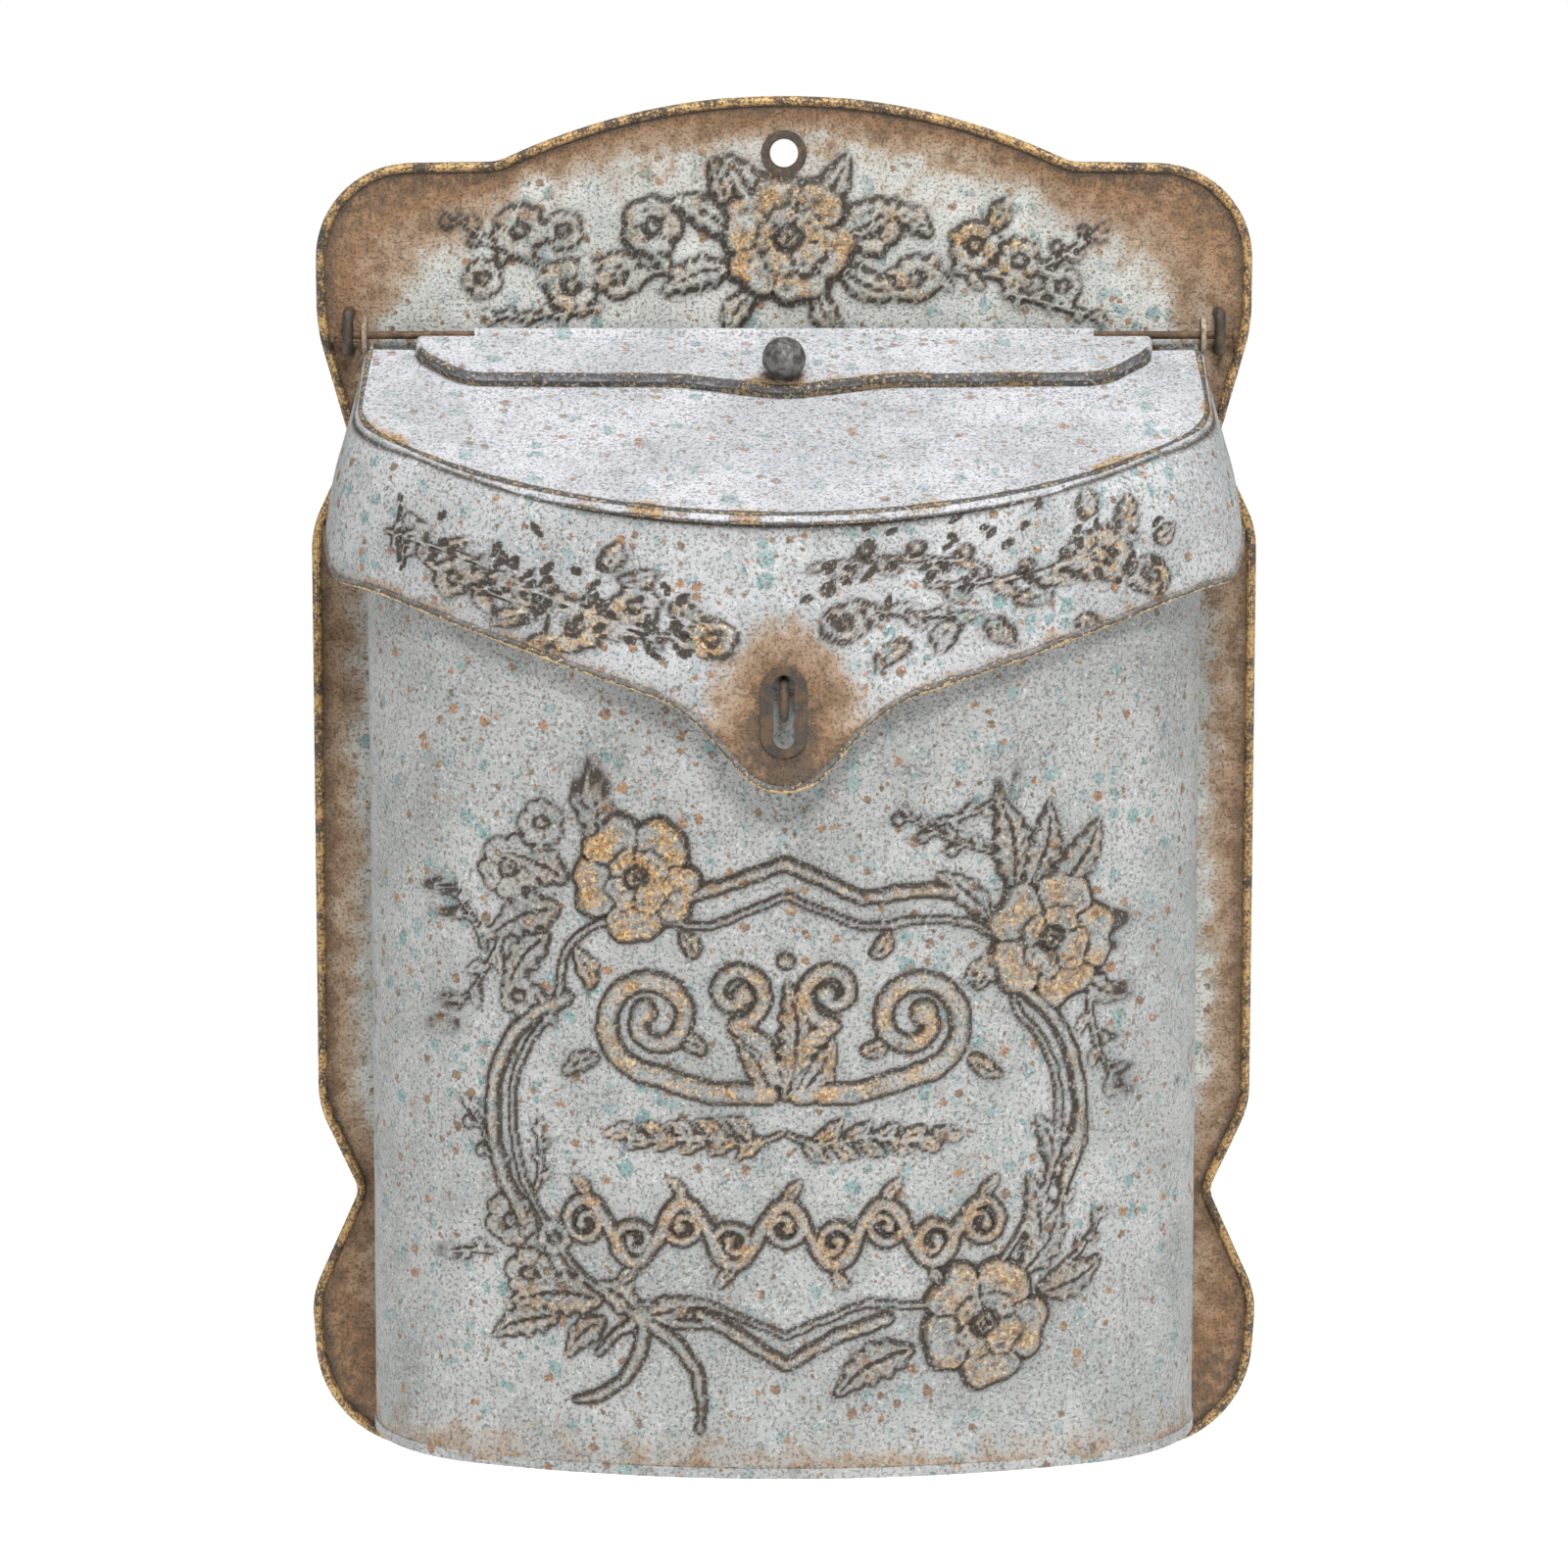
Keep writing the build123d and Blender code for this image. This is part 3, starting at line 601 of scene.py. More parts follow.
# Curve through every point: cubic pieces whose slopes follow the neighbours.
def smooth(points, steps=8):
    points = np.asarray(points, dtype=float)
    slope = np.gradient(points, axis=0)
    t = np.linspace(0, 1, steps, endpoint=False)[:, None]
    parts = []
    for i in range(len(points) - 1):
        p, q, m, n = points[i], points[i + 1], slope[i], slope[i + 1]
        parts.append(
            (2 * t**3 - 3 * t**2 + 1) * p + (t**3 - 2 * t**2 + t) * m + (3 * t**2 - 2 * t**3) * q
            + (t**3 - t**2) * n
        )
    return np.vstack(parts + [points[-1:]])


# Grid lines: each run is (from, to, step); shared ends are kept once.
def spaced(*runs):
    lines = [np.linspace(a, b, max(2, round(abs(b - a) / step) + 1)) for a, b, step in runs]
    return np.concatenate([lines[0]] + [x[1:] for x in lines[1:]])


# Height of the lid's own plane, raised by n square to it, at a distance y from the wall.
def alongLid(n, y):
    slope = math.radians(lidPlan["slope"])
    return hinge[2] + (n + math.sin(slope) * (y - hinge[1])) / math.cos(slope)


lidPlan = {"slope": 22.0, "topFace": -2.3, "sheet": 0.8, "corner": 48.0, "straight": 36.0}

# Letter box front, with its cartouche.

boxPlan = {
    "corner": 48.0, "straight": 36.0, "proud": 0.35, "lidGap": 7.1, "fine": 0.64, "coarse": 3.0,
    "ornament": (-88.0, 88.0, -336.0, -164.0),
}


def cartouche(work):
    frameOuter = [(-22, -300), (-12, -305.5), (0.5, -313.5), (13, -306), (27, -301.5)]
    work.bead(frameOuter, 3.0, 1.5, 0.35)
    top = [
        (-34, -189), (-26, -189.7), (-12, -185), (0.5, -180.3), (11, -185), (20, -189.7), (36, -187.6),
        (44, -188.5)
    ]
    work.bead(top, 3.0, 1.5, 0.35)
    left = [
        (-57.5, -217), (-66, -221.5), (-73, -229), (-77.5, -241), (-77.8, -254), (-74.5, -266),
        (-69, -277)
    ]
    right = [(62, -214), (70.5, -221), (76.5, -232), (79, -244), (78.5, -256), (75, -267)]
    work.bead(smooth(left), 3.4, 1.6, 0.3)
    work.bead(smooth(right), 3.4, 1.6, 0.3)
    peak = [(0.5, -189), (11, -193.5), (20, -197.2), (38, -195.4)]
    line = [
        (38, -195.4), (49, -197), (57, -203), (59.5, -213), (61, -220), (67, -227.5), (72, -238),
        (72.8, -250)
    ]
    line += [(70.5, -264), (65, -275), (58, -286), (51, -293), (44, -296.8), (34, -298), (21, -296.8)]
    foot = [(21, -296.8), (11, -301), (0.5, -305.5)]
    for side in (-1, 1):
        for part in (peak, smooth(line, 5), foot):
            work.bead([(side * x + 0.5, z) for x, z in part], 1.6, 0.9, 0.1)


# Scrolls and leaves in the middle of the frame, a twig across it and a running vine below.
def emblem(work):
    for side in (-1, 1):
        work.scroll(
            side * 34, -222, 14.5, -90, 1.35 * side, 5.4, 1.6, 0.6,
            tail=[(side * 4, -241), (side * 19, -241)]
        )
        work.scroll(
            side * 12.5, -214.5, 8.5, -90, -1.2 * side, 4.4, 1.4, 0.5,
            tail=[(side * 2, -237), (side * 5.5, -228)]
        )
        for x, z, turn, length, width in (
            (3, -242, 58, 19, 7.5), (50, -214, 62, 12, 5.5), (49, -232, -30, 11, 5),
            (23, -205.5, 60, 9, 4.5), (20, -230, 20, 9, 4.5),
        ):
            work.leaf(side * x, z, turn if side > 0 else 180 - turn, length, width, 1.5, 0.5)
    work.leaf(0.5, -243, 90, 33, 10, 1.9, 0.55)
    work.berry(0.5, -206, 2.0, 1.6, 0.6)
    for side in (-1, 1):
        stem = smooth(
            [
                (side * 1, -252), (side * 10, -254.5), (side * 22, -252.5), (side * 33, -254),
                (side * 42, -252.5)
            ]
        )
        work.bead(stem, 1.3, 0.9, 0.3)
        for i in range(5):
            x = side * (5 + i * 7.6)
            for up in (-1, 1):
                turn = up * (38 - 3 * i)
                work.leaf(
                    x + side * (up + 1) * 1.6, -253.2, turn if side > 0 else 180 - turn, 9.6 - 0.7 * i,
                    4.2, 1.3, 0.6
                )
        work.leaf(side * 41, -252.6, 0 if side > 0 else 180, 7, 3.0, 1.1, 0.5)
    xs = np.linspace(-52, 52, 57)
    work.bead(np.stack([xs, -278.5 + 8 * np.cos(xs * np.pi / 13)], axis=1), 3.5, 1.5, 0.5)
    for i in range(-4, 5):
        up = 1 if i % 2 == 0 else -1
        way = (1 if i >= 0 else -1) * up
        work.scroll(i * 13, -278.5 + up * 2.2, 6.2, 90 * up, -1.3 * way, 3.0, 1.4, 0.5)
        work.leaf(i * 13, -278.5 + up * 9.5, (50 if i >= 0 else 130) * up, 7, 3.6, 1.2, 0.45)


# Three big roses, small blossoms, leaves, sprigs and a bow round the frame.
def frontFlowers(work):
    work.berry(-37, -301, 3.2, 2.2, 0.5)
    work.bead([(-37, -303), (-38, -311), (-42, -318), (-49, -323), (-55, -324)], 3.6, 1.5, 0.2, taper=0.5)
    work.bead([(-35, -303), (-28, -308), (-23, -315), (-21.5, -323), (-22, -331)], 3.4, 1.4, 0.2, taper=0.5)
    work.bead([(-37, -301), (-44, -306), (-49, -311)], 3.0, 1.2, 0.2, taper=0.5)
    work.bead([(-34, -301), (-27, -303), (-20, -302.5)], 3.0, 1.2, 0.2, taper=0.4)
    for spec in (
        (-72.8, -183, 9.0, 5, 1.6, 15, 0.2, 0.3), (-64, -171, 6.5, 5, 1.3, 40, 0.15, 0.3),
        (-38.6, -184.5, 17.5, 5, 2.6, 20, 1.0, 0.2), (-70.5, -217, 5.5, 5, 1.5, 0, 0.15, 0.3),
        (70.5, -201.5, 18.5, 5, 2.8, 0, 0.6, 0.2), (52.8, -303, 18.0, 5, 2.8, 10, 0.55, 0.22),
        (-73, -277, 7.5, 5, 1.6, 10, 0.2, 0.3), (-68, -291, 7.0, 5, 1.7, 50, 0.3, 0.3),
        (-61, -281, 5.0, 5, 1.4, 30, 0.2, 0.3),
    ):
        work.flower(*spec)
    for spec in (
        (-49, -178, 98, 22, 9, 1.6, 0.2), (-46, -176, 128, 18, 8, 1.5, 0.2),
        (-57, -186, 160, 20, 9, 1.6, 0.25), (-59, -193, 205, 22, 10, 1.6, 0.25),
        (-62, -200, 235, 22, 8, 1.5, 0.2), (-66, -214, 300, 12, 5, 1.2, 0.2),
        (60, -188, 100, 26, 10, 1.8, 0.2), (64, -188, 75, 24, 9, 1.7, 0.2),
        (72, -188, 55, 22, 9, 1.6, 0.25), (54, -196, 140, 20, 7, 1.4, 0.2),
        (80, -212, 330, 14, 7, 1.4, 0.2), (59, -207, 205, 14, 6, 1.3, 0.2),
        (46, -292, 250, 12, 6, 1.4, 0.2), (34, -309, 212, 25, 10, 1.8, 0.25),
        (63, -291, 60, 22, 9, 1.6, 0.25), (68, -296, 25, 20, 9, 1.6, 0.25),
        (67, -288, 95, 24, 9, 1.5, 0.25), (73, -263, 60, 16, 6, 1.4, 0.15),
        (72, -262, 110, 14, 6, 1.4, 0.15), (-48, -297, 185, 26, 11, 1.8, 0.45),
        (-60, -302, 200, 20, 9, 1.6, 0.3), (-47, -302, 225, 16, 7, 1.5, 0.3),
        (-36, -300, 20, 14, 7, 1.6, 0.4), (-38, -300, 150, 14, 8, 1.6, 0.4),
    ):
        work.leaf(*spec)
    for spec in (
        (-73, -196, 250, 34, -28, 6, 8, 0.15), (-80, -205, 110, 20, 30, 4, 5, 0.1, True),
        (54, -178, 165, 24, -22, 6, 5, 0.1, True), (40, -170, 10, 22, 28, 5, 5, 0.1),
        (82, -219, 275, 24, 30, 5, 7, 0.2, True), (70, -285, 70, 30, 15, 6, 6, 0.15, True),
        (73, -291, 35, 18, 30, 4, 6, 0.15), (-76, -268, 100, 22, 30, 5, 6, 0.15, True),
        (-78, -286, 175, 12, 30, 3, 5, 0.1), (-66, -268, 75, 16, 25, 4, 5, 0.15),
    ):
        work.sprig(*spec)


def makeBoxFront():
    half, depth = shellHigh[0], -shellLow[1]
    rear = -shellHigh[1]
    planShares(half, depth, boxPlan, rear)
    left, right, low, high = boxPlan["ornament"]
    fine, coarse = boxPlan["fine"], boxPlan["coarse"]
    ends = boxPlan["length"] - 0.2
    across = spaced((-ends, left, coarse), (left, right, fine), (right, ends, coarse))
    top = -102.0
    up = spaced((shellLow[2] + 0.4, low, 2.0), (low, high, fine), (high, top, coarse))
    s = across / boxPlan["length"]
    x, y, nx, ny = bowPlan(s, half, depth, boxPlan, rear)
    rim = alongLid(lidPlan["topFace"] - lidPlan["sheet"] - boxPlan["lidGap"], y)
    extra = np.linspace(0, 1, 8)[1:, None]
    z = np.vstack([np.broadcast_to(up[:, None], (len(up), len(s))), top + (rim - top)[None] * extra])
    keepR, keepC = (z.shape[0] - 1) // 4 * 4 + 1, (z.shape[1] - 1) // 4 * 4 + 1
    z = np.vstack([z[: keepR - 1], z[-1:]])
    cols = np.r_[0 : keepC - 1, z.shape[1] - 1]
    z, across, s = z[:, cols], across[cols], s[cols]
    x, y, nx, ny = x[cols], y[cols], nx[cols], ny[cols]
    work = Relief(across[None], z)
    cartouche(work)
    emblem(work)
    frontFlowers(work)
    work.height += 0.16 * wobble(across[None], z, 24, 3)
    out = boxPlan["proud"] + np.clip(work.height, -0.25, 4)
    outer = np.stack([x + nx * out, y + ny * out, z + 0 * out], axis=-1)
    inner = np.stack([x + nx * 0.04 + 0 * z, y + ny * 0.04 + 0 * z, z], axis=-1)[::4, ::4]
    sag = unit(1 - (z - shellLow[2]) / 14)
    marks = {
        "wash": work.wash(),
        "gilt": work.gilt,
        # The term that grows below z -300 darkens the lower front: painted shade where the light falls off
        # towards the bottom.
        "rust": 0.3 * sag + 0.1 * unit((-300 - z) / 40) + 0.30 * work.gilt * unit(work.height),
        "rim": unit(1 - np.abs(ends - np.abs(across[None])) / 2.0) * 0.5 + 0 * z,
    }
    return outer, inner, marks


# A fine outer grid and a grid of every fourth point behind it, joined round the edge.
def closeCoarse(outer, inner, marks):
    rows, cols = outer.shape[:2]
    smallR, smallC = inner.shape[:2]
    n = rows * cols
    faces = [gridFaces(rows, cols), gridFaces(smallR, smallC)[:, ::-1] + n]
    fine = np.arange(n).reshape(rows, cols)
    rough = np.arange(smallR * smallC).reshape(smallR, smallC) + n
    for line, back, flip in (
        (fine[0], rough[0], False), (fine[-1], rough[-1], True), (fine[:, 0], rough[:, 0], True),
        (fine[:, -1], rough[:, -1], False)
    ):
        i = np.arange(len(line) - 1)
        fans = np.stack([line[i], back[i // 4], line[i + 1]], axis=1)
        j = np.arange(len(back) - 1)
        gaps = np.stack([back[j], back[j + 1], line[(j + 1) * 4]], axis=1)
        strips = np.vstack([fans, gaps])
        faces.append(strips[:, ::-1] if flip else strips)
    points = np.vstack([outer.reshape(-1, 3), inner.reshape(-1, 3)])
    kept = {}
    for key, value in marks.items():
        value = np.broadcast_to(value, outer.shape[:2])
        kept[key] = np.concatenate([value.ravel(), value[::4, ::4].ravel()])
    return points, faces, kept


outer, inner, marks = makeBoxFront()
points, faces, marks = closeCoarse(outer, inner, marks)
putPiece("boxFront", points, faces, tin, "box", marks, flat=60)
print("box front", len(points), "points")

# Back plate: scalloped outline, garland, hanging hole, rolled edge.

plateShape = {
    "arch": 180.0, "archHalf": 78.0, "shoulder": -3.0, "lobeIn": 2.0, "waistDepth": 11.0,
    "upperWaist": -79.0, "lowerWaist": -287.0,
    "bead": 1.35, "hole": 4.6, "edgePoints": 700, "sheet": 0.8, "garland": (-96.0, 92.0, -84.0),
    "fine": 0.85, "coarse": 3.2, "straight": 129.5,
}


# Polygon with arcs at its corners: each corner is left and joined again a tangent length away.
def roundedPath(points, radii, step=0.8):
    points = np.asarray(points, dtype=float)
    made = []
    for i, radius in enumerate(radii):
        p, before, after = points[i], points[i - 1], points[(i + 1) % len(points)]
        u = (before - p) / np.linalg.norm(before - p)
        v = (after - p) / np.linalg.norm(after - p)
        half = math.acos(np.clip(u @ v, -1, 1)) / 2
        if not radius:
            made.append(p[None])
            continue
        middle = p + (u + v) / np.linalg.norm(u + v) * radius / math.sin(half)
        start = p + u * radius / math.tan(half)
        end = p + v * radius / math.tan(half)
        a0 = math.atan2(*(start - middle)[::-1])
        a1 = math.atan2(*(end - middle)[::-1])
        a1 = a0 + (a1 - a0 + math.pi) % (2 * math.pi) - math.pi
        t = np.linspace(a0, a1, max(3, int(abs(a1 - a0) * radius / step)))
        made.append(middle + radius * np.stack([np.cos(t), np.sin(t)], axis=1))
    return np.vstack(made)


# Right-hand half of the plate's edge, from the top of the arch round to the middle of the foot.
def plateOutline():
    shape = plateShape
    top, foot = plateHigh[2], plateLow[2]
    ax = shape["archHalf"]
    az = top - shape["arch"] + math.sqrt(shape["arch"] ** 2 - ax**2)
    lobe, wide = shape["straight"] - shape["lobeIn"], shape["straight"]
    waist = wide - shape["waistDepth"]
    sides = [
        ((ax, az), 14), ((lobe, shape["shoulder"]), 26), ((lobe, shape["shoulder"] - 44), 50),
        ((waist, shape["upperWaist"]), 5),
        ((wide, shape["upperWaist"] - 23), 26), ((wide, shape["lowerWaist"] + 24), 26),
        ((waist, shape["lowerWaist"]), 5),
        ((wide + 2.5, shape["lowerWaist"] - 30), 24), ((wide - 0.5, foot), 31),
    ]
    turn = np.linspace(0, math.asin(ax / shape["arch"]), 60)
    arch = np.stack(
        [shape["arch"] * np.sin(turn), top - shape["arch"] + shape["arch"] * np.cos(turn)], axis=1
    )
    run = roundedPath(
        [tuple(arch[-3])] + [p for p, _ in sides] + [(0, foot)], [0] + [r for _, r in sides] + [0]
    )[1:]
    arch = arch[arch[:, 0] < run[0, 0]]
    return np.vstack([arch, run])


def resample(path, count):
    steps = np.r_[0, np.cumsum(np.linalg.norm(np.diff(path, axis=0), axis=1))]
    at = np.linspace(0, steps[-1], count)
    return np.stack([np.interp(at, steps, path[:, k]) for k in range(path.shape[1])], axis=1)


halfEdge = resample(plateOutline(), plateShape["edgePoints"])


# The plate's garland: a big rose between sprays of leaves and blossoms.
def garland(work):
    for side in (-1, 1):
        work.leaf(side * 8, -14, 90 - side * 35, 17, 8, 1.5, 0.15)
        work.leaf(side * 14, -22, 90 - side * 62, 20, 8, 1.5, 0.2)
        work.leaf(side * 15, -31, 90 - side * 112, 20, 8, 1.4, 0.35)
        work.leaf(side * 9, -38, 90 - side * 150, 14, 7, 1.3, 0.3)
        work.sprig(side * 28, -32, 90 - side * 88, 34, -12 * side, 7, 8, 0.35)
    for spec in (
        (1.0, -23, 19.0, 6, 2.6, 15, 0.75, 0.22), (-36, -20, 8.5, 5, 1.7, 0, 0.2, 0.3),
        (-45, -33, 6.5, 5, 1.6, 20, 0.35, 0.3), (-58, -36, 7.5, 5, 1.7, 40, 0.45, 0.3),
        (-72, -21, 7.5, 5, 1.6, 10, 0.2, 0.3), (-82, -34, 5.5, 5, 1.4, 30, 0.15, 0.3),
        (-60, -21, 5.5, 5, 1.4, 30, 0.15, 0.3), (24, -20, 8.0, 5, 1.8, 15, 0.25, 0.3),
        (36, -34, 6.5, 5, 1.6, 35, 0.55, 0.3), (52, -25, 7.0, 5, 1.7, 5, 1.0, 0.3),
        (64, -29, 6.0, 5, 1.5, 25, 1.0, 0.3), (76, -36, 5.0, 5, 1.3, 30, 0.1, 0.3),
    ):
        work.flower(*spec)
    for spec in (
        (-16, -14, 108, 13, 7, 1.6, 0.15), (-20, -20, 130, 12, 6, 1.4, 0.15),
        (40, -22, 150, 14, 6, 1.4, 0.5), (56, -20, 60, 10, 5, 1.4, 0.9),
    ):
        work.leaf(*spec)
    for spec in (
        (66, -32, 20, 22, 20, 5, 6, 0.2, True), (60, -38, -10, 26, -12, 6, 5, 0.1),
        (-66, -30, 160, 26, -20, 6, 6, 0.15, True), (-50, -42, 190, 30, -14, 6, 5, 0.2),
    ):
        work.sprig(*spec)


def makePlate():
    shape = plateShape
    left, right, low = shape["garland"]
    edge = halfEdge.copy()
    inset = shape["bead"]
    # corners of the grid: the middles of the shoulder and foot arcs
    away = np.hypot(edge[:, 0] - plateHigh[0], edge[:, 1] + 3)
    cornerTop = np.argmin(np.where(edge[:, 1] > -30, away, farAway))
    away = np.hypot(edge[:, 0] - plateHigh[0], edge[:, 1] - plateLow[2])
    cornerFoot = np.argmin(away)
    sideX, sideZ = edge[cornerTop : cornerFoot + 1].T
    topX, topZ = edge[: cornerTop + 1].T
    footX, footZ = edge[cornerFoot:][::-1].T
    zs = spaced((sideZ[-1], low, shape["coarse"]), (low, sideZ[0], shape["fine"]))
    xs = spaced(
        (-1, left / 125, 0.022), (left / 125, right / 125, shape["fine"] / 125), (right / 125, 1, 0.022)
    )
    v = ((zs - zs[0]) / (zs[-1] - zs[0]))[:, None]
    w = np.interp(-zs, -sideZ, sideX)[:, None]
    x = xs[None] * (w - inset * 0.6)
    zTop = np.interp(np.abs(xs) * topX[-1], topX, topZ)[None] - topZ[-1]
    zFoot = np.interp(np.abs(xs) * footX[-1], footX, footZ)[None] - footZ[-1]
    z = zs[:, None] + v**3 * zTop + (1 - v) ** 3 * zFoot
    z = np.clip(z, plateLow[2] + inset * 0.5, plateHigh[2] - inset * 0.5)
    far = np.full(x.shape, farAway)
    for part in np.array_split(np.vstack([halfEdge, halfEdge * [-1, 1]])[::2], 40):
        gap = np.hypot(x[..., None] - part[:, 0], z[..., None] - part[:, 1]).min(-1)
        far = np.minimum(far, gap)
    work = Relief(x, z)
    garland(work)
    clear = unit((np.hypot(x, z) - 7) / 3)
    work.height = work.height * clear
    work.height += 0.22 * wobble(x, z, 30, 5) * unit(far / 10)
    y = -shape["sheet"] - np.clip(work.height, 0, 4)
    corner = unit((np.abs(x) - 70) / 40) * unit((z + 60) / 30)
    foot = unit((-300 - z) / 36)
    reach = np.where(z > -60, 12 + 32 * corner, 16.0 + 26 * foot) * (1 + 0.35 * wobble(x, z, 14, 17))
    rust = unit(1.1 - far / reach)
    brow = unit((z + 34) / 40) * 0.36
    marks = {
        # The hump 2.7 mm in from the edge is a painted shadow line along the inner side of the rolled bead.
        "wash": work.wash() + 0.8 * hump((far - 2.7) / 1.1),
        "gilt": work.gilt,
        "rust": np.clip(rust * 1.05 + brow + 0.35 * foot, 0, 1.2) + 0.25 * work.gilt * unit(work.height),
        "rim": unit(1.2 - far / 2.4) * 0.9,
    }
    return np.stack([x, y, z], axis=-1), marks


# Drops the quads inside a round hole and pulls the edge of what is left onto its circle.
def cutHole(points, faces, middle, radius):
    centre = points[faces].mean(1)
    keep = np.hypot(centre[:, 0] - middle[0], centre[:, 2] - middle[1]) > radius
    gone = np.unique(faces[~keep])
    faces = faces[keep]
    edge = np.intersect1d(gone, np.unique(faces))
    d = points[edge][:, [0, 2]] - middle
    d *= (radius / np.linalg.norm(d, axis=1))[:, None]
    points[edge, 0] = middle[0] + d[:, 0]
    points[edge, 2] = middle[1] + d[:, 1]
    return points, faces


grid, marks = makePlate()
faces = gridFaces(*grid.shape[:2])
points, faces = cutHole(grid.reshape(-1, 3), faces, np.array([0.0, 0.0]), plateShape["hole"])
points, faces, marks = tidyGrid(points, faces, marks, slice(None))
backPlate = putPiece(
    "backPlate", points, [faces], plateTin, "box", marks, ["back_plate"], flat=60
)
thicken(backPlate, plateShape["sheet"])
ringPath = np.vstack([halfEdge[:-1], (halfEdge * [-1, 1])[::-1][:-1]])
inward = plateShape["bead"]
along = np.roll(ringPath, -1, axis=0) - np.roll(ringPath, 1, axis=0)
along /= np.linalg.norm(along, axis=1)[:, None]
normal2 = np.stack([along[:, 1], -along[:, 0]], axis=1)
if (normal2[0] @ np.array([0, 1])) > 0:
    normal2 = -normal2
ringPath = ringPath + normal2 * inward
path3 = np.stack([ringPath[:, 0], np.full(len(ringPath), -inward), ringPath[:, 1]], axis=1)
path3 = path3[::2]
spin = np.tile([0.0, -1.0, 0.0], (len(path3), 1))
radius = inward * (0.97 + 0.03 * wobble(path3[:, 0], path3[:, 2], 4, 8))
points, faces = sweepRing(path3, spin, radius, 10)
putPiece("plateBead", points, [faces], rimTin, "box", None, ["back_plate"], weld=True)
print("back plate", len(grid.reshape(-1, 3)), "points")

# Lid skirt: flared band with a tongue, two sprays, a hem and the hinge ears.

skirtShape = {
    "half": 114.5, "depth": 93.5, "flare": 0.15, "belly": 0.8, "rear": 3.0, "side": -110.0,
    "easeX": 112.0, "easeZ": -110.5,
    "tongueX": 24.0, "tongueZ": -138.0, "tip": -166.0, "rows": 86, "step": 0.86, "slotW": 5.4,
    "slotH": 18.8, "slotZ": -139.5,
    "hem": 0.95, "hemPoints": 420, "tubeSides": 10, "earSteps": 40, "earIn": 113.2, "earOut": 114.4,
    "earR": 5.0, "earHole": 1.17,
}
planShares(skirtShape["half"], skirtShape["depth"], lidPlan, skirtShape["rear"])
topPlan = {"half": 112.5, "depth": 101.5, "corner": 30.0, "straight": 38.0}
lean = math.radians(lidPlan["slope"])
lidAcross = np.array([1.0, 0.0, 0.0])
lidRise = np.array([0.0, math.cos(lean), math.sin(lean)])
lidNormal = np.array([0.0, -math.sin(lean), math.cos(lean)])
topPlan["rearU"] = -2.5
planShares(topPlan["half"], topPlan["depth"], topPlan, topPlan["rearU"])
topPlan["frontShare"], topPlan["cornerShare"] = lidPlan["frontShare"], lidPlan["cornerShare"]
cosSlope = math.cos(lean)


# Points in the lid's plane: across, up the slope and square to it, all from the hinge rod.
def onLid(x, u, n):
    x, u, n = np.broadcast_arrays(x, u, n)
    return hinge + x[..., None] * lidAcross + u[..., None] * lidRise + n[..., None] * lidNormal


# The lid's flared plan at height z: a straight flare plus a slight belly part-way down.
def lidAt(s, z, grow, rear):
    drop = hinge[2] - z
    out = skirtShape["flare"] * drop + skirtShape["belly"] * hump((drop - 40) / 17) + grow
    return bowPlan(s, skirtShape["half"] + out, skirtShape["depth"] + out, lidPlan, rear)


# Spreads from the rounder top edge to the flared plan: one minus e to the power of minus drop/6.
def skirtAt(s, z, edge):
    x, y, nx, ny = lidAt(s, z, 0, skirtShape["rear"])
    spread = 1 - np.exp(-np.clip(edge[:, 2] - z, 0, None) / 6.0)
    return edge[:, 0] + (x - edge[:, 0]) * spread, edge[:, 1] + (y - edge[:, 1]) * spread, nx, ny


# The lid's top edge: its own bowed plan drawn in the sloping plane, n above the hinge rod.
def topEdge(s, n, grow, rear):
    x, y, _, _ = bowPlan(s, topPlan["half"] + grow, topPlan["depth"] + grow, topPlan, rear)
    return onLid(x, y, n)


# Two sprays of leaves, berries and blossoms, with slits punched between them.
def sprays(work):
    for x, z, turn, length, bend, count, size in (
        (-92, -96, -8, 34, -20, 7, 8), (-76, -104, -30, 30, 24, 6, 8), (-60, -108, -14, 28, -16, 6, 8),
        (-46, -112, -24, 26, 8, 6, 8),
        (6, -103, 12, 30, -22, 6, 7), (30, -108, 2, 30, 14, 6, 7), (52, -106, 18, 24, 20, 5, 8),
        (14, -112, -20, 22, 26, 5, 6),
    ):
        work.sprig(x, z, turn, length, bend, count, size, 0.25, berries=count == 6)
    for x, z, r, gilt in (
        (-84, -97, 6, 0.1), (-70, -107, 5, 0.15), (-42, -119, 6.5, 0.9), (-30, -113, 5, 0.4),
        (-14, -121, 5, 0.6), (12, -117, 5, 0.15), (68, -101, 7.5, 0.5), (79, -107, 5.5, 0.4)
    ):
        work.flower(x, z, r, 5, 1.6, x, gilt, 0.3)
    for x, z, turn in (
        (-38, -104, 60), (-34, -107, 20), (-22, -112, -40), (-52, -116, 200), (-47, -121, 240),
        (34, -117, 250), (42, -116, 300), (48, -112, 20), (24, -122, 230), (62, -116, 280), (74, -94, 80),
        (66, -92, 110), (82, -98, 30)
    ):
        work.leaf(x, z, turn, 9, 4.6, 1.3, 0.3)
    draw = np.random.default_rng(5)
    for i in range(96):
        side = -1 if i < 52 else 1
        share = draw.uniform(0, 1)
        x = side * (90 - 74 * share) if side < 0 else 4 + 80 * share
        z = (
            -96 - 24 * share + draw.normal(0, 5.0) if side < 0
            else -107 + 9 * math.sin(share * 3) + draw.normal(0, 6.0)
        )
        work.slit(x, z, draw.uniform(30, 150), draw.uniform(2.4, 5.2), draw.uniform(1.3, 2.1))


